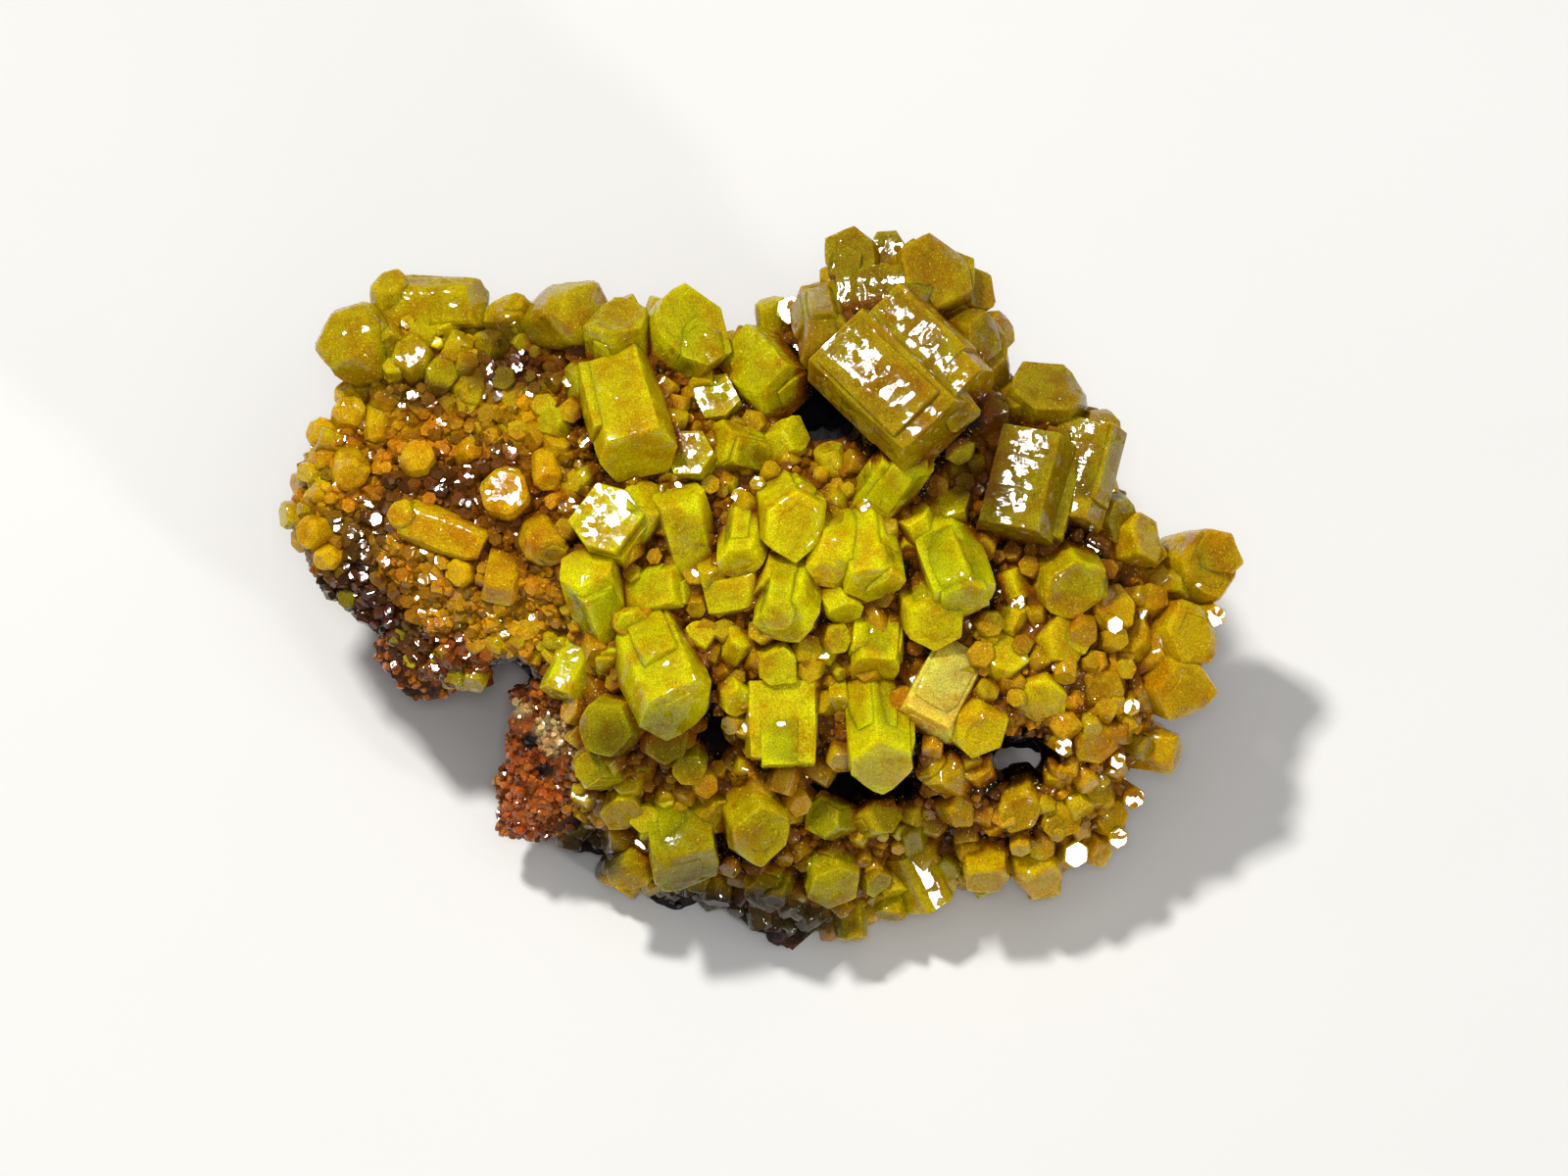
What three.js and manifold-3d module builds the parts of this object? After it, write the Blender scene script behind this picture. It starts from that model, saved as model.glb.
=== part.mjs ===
// Pyromorphite specimen: a crust of stubby yellow hexagonal crystals on a piece of brown gossan rock.
// Millimetres. The crystal face is modelled in a frame of its own, with x to the right, y up the face
// and z out of it. That frame is tipped back and lifted, so that the rock rests on its sawn base at z = 0.
import * as THREE from "three";
import { mergeVertices } from "three/addons/utils/BufferGeometryUtils.js";
import Module from "manifold-3d";

const wasm = await Module();
wasm.setup();

// ---- Driving dimensions ----
const FACE_TILT = 20;            // degrees between the crystal face and the base
const FACE_LIFT = 18;            // height of the middle of the face above the base
const FACE_X = 0.15;             // these two put the middle of the part over the origin
const FACE_Y = -2.79;
const SEAT_GAP = 0.3;            // clearance between the rock, the crust and the clusters
const CRUST_DEPTH = 1.9;         // crust surface down to the rock surface
const ROCK_INSET = 1.7;          // rim of the crust in to the rim of the rock
const CRUST_WRAP = 3.6;          // how far the crust turns down over the rim
const ROCK_DEPTH = 40;           // the rock is made this deep, then sawn off at the base
const RIM_DROP = 5.0;            // the face is domed: its rim is this much lower than its middle
const LOWER_DROP = 4.0;          // and its lower edge falls away by this much more
const LOWER_START = -6;          // y where that fall begins
const LOWER_END = -21;           // y where it is complete
const CRYSTAL_BITE = 0.3;        // share of a crystal's width that is sunk into the crust
const BEVEL = 0.09;              // end bevel, as a share of the width
const BEVELLED_WIDTH = 4.2;      // crystals at least this wide have bevelled ends
const EVEN_FRONT = 0.5;          // front face of an even hexagon, as a share of its corner-to-corner width
const SAW_SIZE = 200;

// Rim of the crust, anticlockwise from the right-hand end, as [x, y].
const RIM = [
  [25.2, 0.8], [23.6, 3.6], [20.6, 7.6], [19.0, 12.2], [15.4, 12.0], [13.6, 15.2], [11.2, 19.6],
  [8.6, 21.4], [5.2, 20.6], [2.0, 17.8], [-2.4, 15.4], [-6.4, 17.6], [-12.0, 18.6], [-17.6, 17.0],
  [-23.6, 18.4], [-26.4, 16.0], [-25.4, 13.2], [-28.8, 9.4], [-29.8, 4.8], [-28.4, 1.6],
  [-24.4, -1.6], [-22.4, -5.0], [-17.6, -4.8], [-15.4, -6.8], [-15.6, -14.0], [-11.4, -15.0],
  [-8.6, -18.0], [-4.0, -19.0], [0.6, -21.0], [5.2, -20.4], [9.6, -18.6], [14.0, -17.4],
  [18.6, -17.2], [21.6, -15.0], [22.6, -11.2], [24.4, -8.8], [23.8, -7.2], [26.6, -4.8],
];
const MIDDLE = new THREE.Vector2(0, -1);

// Broad mounds of the face, as [x, y, rise, spread].
const MOUNDS = [
  [8.4, 16.0, 3.2, 5.0],        // under the upper right cluster
  [18.4, 7.4, 2.2, 4.6],        // under the right cluster
  [-8.0, 13.0, 1.4, 5.0],
  [-23.0, 17.0, 1.4, 3.6],
  [1.0, 1.0, 1.2, 7.0],
];

// Deep pockets sunk through the crust into the rock, as [x, y, depth of centre, radius, height].
const POCKETS = [
  [3.2, 12.2, 1.6, 2.4, 4.6],   // left of the upper right cluster
  [5.3, -11.8, 1.6, 2.2, 3.4],  // under the two largest crystals of the lower face
  [-16.4, -4.9, 1.8, 1.6, 3.2], // notch between the left lobe and the foot
  [15.1, -10.5, 2.0, 1.1, 7.0], // these two make the hole through the lower right shelf
  [16.3, -10.4, 2.0, 1.0, 7.0],
];

// The rock is missing under the lower right of the crust, which is left as a shelf.
const UNDERCUT = [18.0, -12.5, 8.5, 7.5, 8.5];

// Lumps of bare rock that stand out of the crust, as [x, y, depth of centre, radius, height].
const ROCK_LUMPS = [
  [-14.6, -12.9, 2.0, 2.9, 3.4],
  [-15.2, -8.6, 2.0, 1.8, 3.4],
  [-22.2, -3.9, 2.6, 2.7, 2.8],
  [-11.6, -14.2, 5.4, 2.8, 3.4],
  [-6.0, -17.6, 3.6, 2.8, 3.0],
  [1.6, -19.6, 2.8, 3.0, 2.6],
];

// Crystals, as [x, y, width across flats, length, heading, lean, roll, front, root].
// heading: direction of the free end in the face, in degrees from +x towards +y.
// lean: angle of the crystal from straight out of the face (0) to lying in the face (90).
// roll: turn about its own length. front: share of its width that the front face takes.
// root: width of the buried end as a share of the full width.
const UPPER_LEFT = [
  [-26.1, 16.2, 3.9, 4.4, 150, 36, 10], [-24.2, 18.9, 2.5, 3.2, 95, 58],
  [-21.3, 18.5, 3.7, 6.4, 0, 82, 0, 0.6],
  [-22.6, 15.0, 2.4, 2.8, 110, 30], [-21.0, 13.8, 2.1, 2.4, 60, 32, 15],
  [-13.6, 17.8, 4.7, 7.8, -5, 45, 12, 0.5, 0.6],
];
const TOP_MIDDLE = [
  [-6.2, 16.2, 4.6, 5.2, 55, 32, 10], [-9.4, 15.9, 4.0, 5.4, 100, 45, 15],
  [-9.0, 11.4, 4.9, 7.0, -75, 50, 0, 0.6], [-3.1, 12.3, 2.5, 3.0, 20, 40, 0, 0.7],
  [-0.2, 14.1, 3.9, 4.8, -45, 50, 5, 0.7], [0.2, 17.2, 1.8, 3.6, 98, 74],
  [-1.8, 9.3, 2.9, 3.8, 165, 52, 0, 0.7], [-4.8, 8.6, 2.9, 3.4, 130, 42, 20],
];
const UPPER_RIGHT_CLUSTER = [
  [3.0, 17.0, 3.8, 5.8, 105, 55], [6.0, 20.8, 3.0, 4.2, 115, 48], [8.4, 20.9, 3.1, 4.2, 80, 44, 12],
  [9.9, 20.2, 3.1, 4.2, 45, 46], [6.8, 19.0, 2.8, 3.6, 180, 72, 0, 0.75],
  [10.6, 18.9, 2.4, 4.2, -4, 66], [4.9, 16.3, 3.4, 5.2, 150, 42, 10, 0.7],
  [8.0, 13.6, 4.5, 9.0, -62, 60, 0, 0.6], [10.6, 16.2, 4.4, 5.8, -20, 48, 10],
  [12.9, 16.7, 2.5, 3.6, 15, 66], [13.6, 15.2, 2.4, 3.4, 8, 68], [12.7, 11.9, 3.6, 4.2, -60, 26],
];
const RIGHT_CLUSTER = [
  [17.9, 11.7, 4.0, 5.0, 72, 50], [16.2, 12.0, 2.4, 4.0, 108, 58],
  [17.2, 7.3, 4.9, 8.0, -110, 56, 0, 0.65], [19.0, 8.4, 3.8, 5.6, 25, 42, 10],
  [18.9, 5.8, 2.9, 4.4, -70, 48], [20.9, 5.9, 2.4, 3.4, -20, 60],
];
const RIGHT_RIM = [
  [23.1, 3.6, 2.9, 3.6, 12, 48], [27.6, 1.8, 3.2, 4.0, 8, 40, 10], [25.4, 1.2, 1.9, 3.6, 0, 78],
  [19.0, 1.6, 4.0, 5.0, -30, 26], [26.2, -4.0, 4.3, 6.0, -10, 48, 10, 0.5, 0.8],
  [23.6, -9.5, 2.7, 5.6, -10, 78], [21.4, -1.2, 3.0, 3.8, 40, 28],
  [21.2, -5.2, 3.0, 3.8, -100, 30],
  [20.4, -8.6, 3.0, 4.0, -60, 30, 15],
];
const CENTRE = [
  [-9.9, 4.2, 3.9, 5.0, 150, 56, 0, 0.7], [-8.2, 4.9, 3.0, 4.4, 65, 42],
  [-5.2, 4.3, 3.0, 5.4, 105, 56, 0, 0.7], [1.3, 5.3, 4.3, 5.0, -60, 24],
  [-1.7, 3.5, 2.9, 4.4, -95, 42], [-11.0, 0.2, 3.3, 5.0, 110, 46, 10, 0.65],
  [-7.1, 0.5, 2.6, 3.6, 10, 62, 0, 0.75],
  [1.3, 0.0, 3.6, 5.2, -100, 42, 10],
  [4.3, 3.0, 3.2, 4.4, -100, 40], [6.4, 2.6, 3.5, 5.2, -80, 46, 10],
  [7.8, 7.2, 3.5, 5.4, 55, 50, 0, 0.6],
  [11.7, 2.1, 3.9, 6.4, -70, 50, 10, 0.6], [10.0, -0.6, 3.7, 4.8, -60, 36],
];
const LOWER_FACE = [
  [6.9, -3.1, 3.0, 3.9, -95, 56, 0, 0.8], [0.6, -4.0, 2.6, 3.4, -80, 22, 15, 0.6],
  [-6.5, -5.1, 4.8, 6.4, -65, 48, 0, 0.65], [0.9, -8.1, 4.2, 5.0, -90, 84, 0, 0.85],
  [6.9, -8.5, 4.3, 6.2, -85, 54, 30], [10.6, -6.2, 2.9, 5.6, -115, 76, 0, 0.8],
  [13.0, -7.7, 3.6, 4.4, -70, 30], [17.2, -5.8, 3.3, 4.0, -80, 30, 10],
  [17.9, -3.2, 3.0, 4.0, 20, 36], [14.6, -4.4, 2.9, 3.8, 60, 34], [-12.6, -4.9, 2.7, 3.4, -120, 40],
];
const LOWER_BAND = [
  [-6.1, -15.4, 3.4, 5.8, -80, 64, 0, 0.8], [-1.0, -14.2, 4.0, 4.8, -65, 34, 10],
  [0.2, -17.9, 2.7, 4.0, -110, 50], [-9.6, -8.0, 3.7, 4.4, -160, 28],
  [-6.9, -8.7, 2.8, 3.4, -60, 34],
  [-9.4, -13.0, 2.7, 3.6, -90, 34], [-8.3, -16.6, 2.6, 4.2, -120, 50],
  [4.2, -14.2, 2.6, 3.2, 180, 30], [6.7, -14.3, 2.5, 3.2, 20, 30, 10],
  [4.0, -17.3, 3.2, 4.2, -80, 42, 10], [5.3, -20.2, 2.1, 4.2, -88, 74],
  [9.7, -18.0, 3.1, 4.2, -48, 70, 30],
];
const LOWER_RIGHT = [
  [11.6, -11.3, 2.9, 3.8, 150, 34],
  [11.8, -13.3, 2.6, 3.4, -30, 34], [13.9, -16.4, 2.9, 4.8, -90, 58, 0, 0.7],
  [16.9, -16.8, 2.9, 4.4, -62, 55, 0, 0.7],
  [19.2, -16.2, 2.3, 3.2, -60, 45], [22.2, -12.9, 2.0, 2.8, -30, 50],
  [20.6, -12.6, 2.7, 3.6, 30, 30], [18.8, -11.4, 2.5, 3.4, 80, 34],
  [16.0, -13.0, 2.9, 3.6, -90, 30, 10],
];
const LEFT_DRUSE = [
  [-20.6, 4.0, 2.5, 5.6, -20, 76, 0, 0.7], [-16.6, 6.2, 3.0, 3.6, 60, 30, 10],
  [-14.5, 3.8, 2.7, 3.8, -70, 36], [-17.0, 1.3, 2.2, 3.2, -100, 56, 0, 0.8],
  [-26.7, 8.3, 2.4, 3.2, -90, 22, 10], [-26.9, 11.4, 2.1, 2.8, 90, 28],
  [-22.9, 4.8, 2.1, 2.8, 150, 44], [-28.3, 10.3, 2.0, 2.4, 160, 45],
  [-28.9, 4.2, 2.1, 2.4, 190, 45], [-24.6, 12.6, 2.0, 2.4, 60, 30],
];

// ---- Helpers ----
const radians = THREE.MathUtils.degToRad;

function rimRadius(angle) {
  const spokes = RIM.map(([x, y]) => {
    const spoke = new THREE.Vector2(x, y).sub(MIDDLE);
    return { angle: spoke.angle(), radius: spoke.length() };
  }).sort((a, b) => a.angle - b.angle);
  const turn = 2 * Math.PI;
  const wanted = THREE.MathUtils.euclideanModulo(angle, turn);
  let next = spokes.findIndex((spoke) => spoke.angle > wanted);
  if (next < 0) next = 0;
  const after = spokes[next];
  const before = spokes[(next + spokes.length - 1) % spokes.length];
  const span = THREE.MathUtils.euclideanModulo(after.angle - before.angle, turn);
  const share = THREE.MathUtils.euclideanModulo(wanted - before.angle, turn) / span;
  return THREE.MathUtils.lerp(before.radius, after.radius, share);
}

// Height of the crust's surface over the point (x, y) of the face.
function faceHeight(x, y) {
  const spoke = new THREE.Vector2(x, y).sub(MIDDLE);
  const out = Math.min(1.15, spoke.length() / rimRadius(spoke.angle()));
  const lower = THREE.MathUtils.smoothstep(-y, -LOWER_START, -LOWER_END);
  let height = -RIM_DROP * out ** 3 - LOWER_DROP * lower;
  for (const [bumpX, bumpY, rise, spread] of MOUNDS) {
    height += rise * Math.exp(-((x - bumpX) ** 2 + (y - bumpY) ** 2) / spread ** 2);
  }
  return height;
}

function ripple(x, y, z) {
  return Math.sin(1.3 * x + 0.7 * z) * Math.cos(1.1 * y - 0.5 * z) + 0.5 * Math.sin(2.3 * y + 1.9 * x + z);
}

// A closed three.js geometry as a manifold solid.
function solid(geometry) {
  geometry.deleteAttribute("normal");
  geometry.deleteAttribute("uv");
  const merged = mergeVertices(geometry, 1e-4);
  const corners = merged.index.array;
  const triangles = [];
  for (let i = 0; i < corners.length; i += 3) {
    const [a, b, c] = [corners[i], corners[i + 1], corners[i + 2]];
    if (a !== b && b !== c && c !== a) triangles.push(a, b, c);
  }
  return new wasm.Manifold(new wasm.Mesh({
    numProp: 3,
    vertProperties: new Float32Array(merged.attributes.position.array),
    triVerts: new Uint32Array(triangles),
  }));
}

function join(solids) {
  return solids.reduce((whole, piece) => whole.add(piece));
}

// A cap over the face: domed top, rim, wall down to a depth, and a flat bottom centre.
function faceCap({ sectors, rings, sink, inset, grow, wall, rough }) {
  const profile = [];
  for (let ring = 0; ring <= rings; ring += 1) profile.push(new THREE.Vector2(ring / rings, 0));
  for (const [radius, depth] of wall) profile.push(new THREE.Vector2(radius, depth));
  profile.push(new THREE.Vector2(0, wall[wall.length - 1][1]));
  const geometry = new THREE.LatheGeometry(profile.reverse(), sectors);
  const position = geometry.attributes.position;
  for (let i = 0; i < position.count; i += 1) {
    const out = Math.hypot(position.getX(i), position.getZ(i));
    const depth = position.getY(i);
    const angle = Math.atan2(-position.getZ(i), position.getX(i));
    const onRim = out > 0.98 || depth > 0;
    const reach = out * (rimRadius(angle) - inset) + (onRim && out > 0.01 ? grow : 0);
    const x = MIDDLE.x + reach * Math.cos(angle);
    const y = MIDDLE.y + reach * Math.sin(angle);
    const bump = rough * ripple(x, y, depth);
    const side = depth > 0 ? bump * out : 0;
    const z = faceHeight(x, y) - sink + (depth > 0 ? 0 : grow + 0.5 * bump) - depth;
    position.setXYZ(i, x + side * Math.cos(angle), y + side * Math.sin(angle), z);
  }
  return solid(geometry);
}

// A rough rounded lump of rock.
function lump([x, y, below, radius, height], grow = 0, detail = 1) {
  const geometry = new THREE.IcosahedronGeometry(1, detail);
  const position = geometry.attributes.position;
  const point = new THREE.Vector3();
  for (let i = 0; i < position.count; i += 1) {
    point.fromBufferAttribute(position, i);
    const swell = 1 + 0.13 * ripple(3 * point.x + x, 3 * point.y + y, 3 * point.z);
    point.set(point.x * (radius * swell + grow), point.y * (radius * swell + grow),
      point.z * (height * swell + grow));
    position.setXYZ(i, point.x + x, point.y + y, point.z + faceHeight(x, y) - below);
  }
  return solid(geometry);
}

// The six-sided section of a crystal: its front face lies along +x and takes the given share of the width.
function section(across, front) {
  const half = across / 2;
  const corner = half / Math.cos(Math.PI / 6);
  const edge = corner * front;
  return new THREE.Shape([
    new THREE.Vector2(half, -edge), new THREE.Vector2(half, edge), new THREE.Vector2(0, corner),
    new THREE.Vector2(-half, edge), new THREE.Vector2(-half, -edge), new THREE.Vector2(0, -corner),
  ]);
}

// One six-sided crystal, stood on the crust and sunk a little into it.
function crystal([x, y, across, length, heading, lean, roll = 0, front = EVEN_FRONT, root = 1], grow = 0) {
  const half = length / 2 + grow;
  const bevel = across >= BEVELLED_WIDTH ? BEVEL : 0;
  const stations = [{ z: -half, size: root }];
  if (root < 1) stations.push({ z: 0.2 * half, size: 1 });
  stations.push({ z: half - bevel * across, size: 1 });
  if (bevel > 0) stations.push({ z: half, size: 1 - 2 * bevel });
  const steps = stations.length - 1;
  const outline = section(across + 2 * grow, front);
  const geometry = new THREE.ExtrudeGeometry(outline, { depth: steps, steps, bevelEnabled: false });
  const position = geometry.attributes.position;
  for (let i = 0; i < position.count; i += 1) {
    const { z, size } = stations[Math.round(position.getZ(i))];
    position.setXYZ(i, position.getX(i) * size, position.getY(i) * size, z);
  }
  const tip = radians(lean);
  const stand = (across * Math.sin(tip) + length * Math.cos(tip)) / 2 - CRYSTAL_BITE * across;
  geometry.rotateZ(radians(roll));
  geometry.rotateY(tip);
  geometry.rotateZ(radians(heading));
  geometry.translate(x, y, faceHeight(x, y) + stand);
  return solid(geometry);
}

// ---- Sub-parts ----
const ROCK_CAP = {
  sectors: 24,
  rings: 4,
  sink: CRUST_DEPTH,
  inset: ROCK_INSET,
  wall: [[0.97, 3], [0.9, 12], [0.8, ROCK_DEPTH]],
  rough: 0.5,
};

function pockets() {
  return join(POCKETS.map((row) => lump(row, 0, 0)));
}

function rock(grow = 0) {
  const lumps = ROCK_LUMPS.map((row) => lump(row, grow));
  return join([faceCap({ ...ROCK_CAP, grow }), ...lumps]).subtract(lump(UNDERCUT, -grow));
}

// Everything below the base, as a block in the face's own frame.
function sawnAway() {
  const block = new THREE.BoxGeometry(SAW_SIZE, SAW_SIZE, SAW_SIZE);
  block.translate(0, 0, -SAW_SIZE / 2 - FACE_LIFT);
  block.rotateX(-radians(FACE_TILT));
  return solid(block);
}

function clusterRoot(x, y, radius, grow) {
  return lump([x, y, 1.6, radius, 3.4], grow);
}

function upperRightCluster(grow = 0) {
  const crystals = UPPER_RIGHT_CLUSTER.map((row) => crystal(row, grow));
  return join([clusterRoot(8.6, 16.6, 4.6, grow), ...crystals]);
}

function rightCluster(grow = 0) {
  const crystals = RIGHT_CLUSTER.map((row) => crystal(row, grow));
  return join([clusterRoot(18.4, 8.6, 3.6, grow), ...crystals]);
}

function crystalCrust() {
  const rows = [
    ...UPPER_LEFT, ...TOP_MIDDLE, ...RIGHT_RIM, ...CENTRE, ...LOWER_FACE, ...LOWER_BAND,
    ...LOWER_RIGHT, ...LEFT_DRUSE,
  ];
  const layer = faceCap({
    sectors: 28,
    rings: 4,
    sink: 0,
    inset: 0,
    grow: 0,
    wall: [[0.985, 0.6 * CRUST_WRAP], [0.93, CRUST_WRAP]],
    rough: 0.35,
  });
  return join([layer.subtract(pockets()), ...rows.map((row) => crystal(row))]);
}

function subPart(name, body, color, roughness) {
  const { vertProperties, triVerts } = body.getMesh();
  const geometry = new THREE.BufferGeometry();
  geometry.setAttribute("position", new THREE.BufferAttribute(vertProperties, 3));
  geometry.setIndex(new THREE.BufferAttribute(triVerts, 1));
  geometry.computeVertexNormals();
  const mesh = new THREE.Mesh(geometry, new THREE.MeshStandardMaterial({ color, roughness, metalness: 0 }));
  mesh.name = name;
  return mesh;
}

const below = sawnAway();
const seat = rock(SEAT_GAP);

const face = new THREE.Group();
face.rotation.x = radians(FACE_TILT);
face.position.set(FACE_X, FACE_Y, FACE_LIFT);
face.add(
  subPart("gossan_rock", rock().subtract(pockets()).subtract(below), 0x5a3a26, 0.95),
  subPart("crystal_crust", crystalCrust().subtract(seat).subtract(upperRightCluster(SEAT_GAP))
    .subtract(rightCluster(SEAT_GAP)).subtract(below), 0xb8a41c, 0.35),
  subPart("upper_right_cluster", upperRightCluster().subtract(seat), 0x9a7f1a, 0.3),
  subPart("right_cluster", rightCluster().subtract(seat), 0x8f861c, 0.3),
);

const group = new THREE.Group();
group.add(face);
export default group;
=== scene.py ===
"""Looks for the pyromorphite specimen: yellow hexagonal crystals in a crust on brown gossan rock.

Shapes are worked out in millimetres in the frame of the crystal face: x to the right, y up the face
and z out of it. to_world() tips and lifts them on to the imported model, in metres.

"across" is a crystal's width between opposite faces. Ranges are given as (least, most).
"""

import math

import bpy
import numpy as np
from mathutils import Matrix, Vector


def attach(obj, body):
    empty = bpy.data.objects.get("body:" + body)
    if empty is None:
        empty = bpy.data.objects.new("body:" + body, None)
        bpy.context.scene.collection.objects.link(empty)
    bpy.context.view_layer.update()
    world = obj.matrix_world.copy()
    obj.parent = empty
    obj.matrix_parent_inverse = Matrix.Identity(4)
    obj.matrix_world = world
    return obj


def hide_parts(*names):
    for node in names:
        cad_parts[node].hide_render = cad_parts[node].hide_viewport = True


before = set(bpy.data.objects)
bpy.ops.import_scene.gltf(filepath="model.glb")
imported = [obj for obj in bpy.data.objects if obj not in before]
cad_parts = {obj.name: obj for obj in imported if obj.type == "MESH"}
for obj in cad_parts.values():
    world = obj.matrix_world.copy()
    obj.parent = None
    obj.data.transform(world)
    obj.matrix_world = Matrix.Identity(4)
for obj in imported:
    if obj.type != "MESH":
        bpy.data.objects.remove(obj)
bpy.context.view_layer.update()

# ---- Frame of the crystal face ----
MM = 0.001
FACE_TILT = math.radians(20)
FACE_AT = np.array([0.15, -2.79, 18.0])
TILT = np.array([
    [1, 0, 0],
    [0, math.cos(FACE_TILT), -math.sin(FACE_TILT)],
    [0, math.sin(FACE_TILT), math.cos(FACE_TILT)],
])

# ---- Shape of the face ----
# Thickness of the crust where it turns down at its rim.
CRUST_WRAP = 3.6
# How far the dome of the face falls to its rim. It goes on past the rim to this share of its radius.
RIM_DROP = 5.0
DOME_END = 1.15
# How much more it falls towards its lower edge, and between which heights.
LOWER_DROP = 4.0
LOWER_START = -6
LOWER_END = -21
# Share of its width by which a crystal is sunk into the crust.
CRYSTAL_BITE = 0.3
MIDDLE = np.array([0.0, -1.0])

RIM = np.array([
    [25.2, 0.8], [23.6, 3.6], [20.6, 7.6], [19.0, 12.2], [15.4, 12.0], [13.6, 15.2], [11.2, 19.6],
    [8.6, 21.4], [5.2, 20.6], [2.0, 17.8], [-2.4, 15.4], [-6.4, 17.6], [-12.0, 18.6], [-17.6, 17.0],
    [-23.6, 18.4], [-26.4, 16.0], [-25.4, 13.2], [-28.8, 9.4], [-29.8, 4.8], [-28.4, 1.6],
    [-24.4, -1.6], [-22.4, -5.0], [-17.6, -4.8], [-15.6, -6.8], [-17.0, -15.2], [-11.4, -15.0],
    [-8.6, -18.0], [-4.0, -19.0], [0.6, -21.0], [5.2, -20.4], [9.6, -18.6], [14.0, -17.4],
    [18.6, -17.2], [21.6, -15.0], [22.6, -11.2], [24.4, -8.8], [23.8, -7.2], [26.6, -4.8],
])

# Broad mounds of the face, as [x, y, rise, spread].
MOUNDS = [
    [8.4, 16.0, 3.2, 5.0], [18.4, 7.4, 2.2, 4.6], [-8.0, 13.0, 1.4, 5.0], [-23.0, 17.0, 1.4, 3.6],
    [1.0, 1.0, 1.2, 7.0],
]

# Pockets cut through the crust, as [x, y, depth of centre, radius, height].
POCKETS = [
    [3.4, 12.2, 1.6, 2.6, 5.0],
    [4.4, -11.4, 1.6, 1.9, 4.2],
    [7.4, -11.4, 1.6, 2.0, 4.2],
    [-3.4, -8.8, 1.2, 1.9, 3.4],
    [-16.4, -4.9, 1.8, 1.6, 3.2],
    [15.1, -10.4, 2.0, 1.25, 7.0],
    [16.5, -10.3, 2.0, 1.15, 7.0],
]

# Crystals, as [x, y, width across flats, length, heading, lean, roll, front, root].
# heading: direction of the free end in the face, in degrees from +x towards +y.
# lean: angle of the crystal from straight out of the face (0) to lying in the face (90).
# roll: turn about its own length, 0 if left out.
# front: half width of its front face as a share of the way to a corner, 0.5 if left out.
# root: width of the buried end as a share of the full width, 1 if left out.
UPPER_LEFT = [
    [-26.0, 15.9, 4.6, 4.6, 150, 30, 10], [-24.2, 18.9, 2.5, 3.2, 95, 58],
    [-21.3, 18.5, 3.7, 6.4, 0, 82, 0, 0.6], [-24.6, 16.4, 2.6, 3.2, -60, 30],
    [-22.6, 15.0, 2.4, 2.8, 110, 30], [-21.0, 13.8, 2.1, 2.4, 60, 32, 15],
    [-19.4, 14.6, 1.7, 2.2, 70, 40], [-19.3, 13.2, 2.0, 2.2, 0, 30, 20],
    [-13.2, 17.6, 4.6, 6.6, 18, 34, 12, 0.5, 0.6], [-16.4, 17.4, 2.8, 3.4, 120, 50],
    [-17.8, 16.0, 2.2, 2.4, 200, 35],
]
TOP_MIDDLE = [
    [-5.7, 16.2, 5.3, 5.2, 55, 30, 10], [-9.4, 15.9, 4.0, 5.4, 100, 45, 15],
    [-9.0, 11.4, 4.9, 7.0, -75, 50, 0, 0.6], [-11.4, 12.6, 2.2, 4.6, 100, 70],
    [-3.1, 12.3, 2.5, 3.0, 20, 40, 0, 0.7], [-0.2, 14.1, 3.9, 4.8, -45, 50, 5, 0.7],
    [0.2, 17.2, 1.8, 3.6, 98, 74], [-1.8, 9.3, 2.9, 3.8, 165, 52, 0, 0.7],
    [0.8, 9.8, 2.2, 2.8, 30, 55, 0, 0.7], [-4.8, 8.6, 2.9, 3.4, 130, 42, 20],
    [-6.6, 7.7, 1.9, 2.2, -90, 35], [-13.4, 10.8, 1.8, 2.2, 140, 40],
    [-4.2, 14.0, 2.4, 3.2, -80, 45],
]
UPPER_RIGHT_CLUSTER = [
    [3.7, 16.9, 3.9, 5.4, -80, 36], [1.7, 17.8, 1.7, 3.4, 110, 50], [5.8, 21.0, 3.6, 4.6, 118, 30],
    [10.0, 20.0, 4.9, 5.0, 50, 26, 12], [12.4, 19.2, 2.6, 3.6, 15, 50], [7.9, 21.8, 2.2, 3.6, 88, 40],
    [6.8, 19.1, 3.3, 4.4, 180, 66, 0, 0.75], [7.7, 12.9, 5.4, 8.8, -44, 60, 0, 0.75],
    [9.1, 13.9, 2.8, 8.8, -44, 60, 0, 0.8],
    [10.0, 15.1, 4.4, 7.8, -44, 60, 0, 0.7], [5.4, 14.9, 3.4, 5.6, -48, 58, 0, 0.6],
    [12.6, 16.2, 3.6, 4.6, -10, 36, 10], [13.6, 16.6, 2.6, 3.6, 12, 50], [13.6, 14.4, 2.6, 3.4, -8, 52],
    [12.9, 11.9, 3.9, 4.4, -60, 24], [9.2, 18.2, 3.0, 4.0, 100, 50],
]
RIGHT_CLUSTER = [
    [17.8, 12.0, 4.8, 4.6, 85, 36, 10], [15.9, 11.4, 2.6, 4.0, 115, 50],
    [16.4, 6.9, 4.4, 6.6, -105, 70, 0, 0.75], [19.8, 7.6, 4.0, 6.4, -105, 70, 0, 0.7],
    [18.1, 7.1, 2.6, 6.8, -105, 70, 0, 0.8],
    [21.4, 5.4, 2.8, 3.6, -30, 50], [20.6, 3.1, 1.6, 2.0, 0, 30], [20.6, 10.4, 2.6, 3.4, 40, 50],
]
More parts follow.
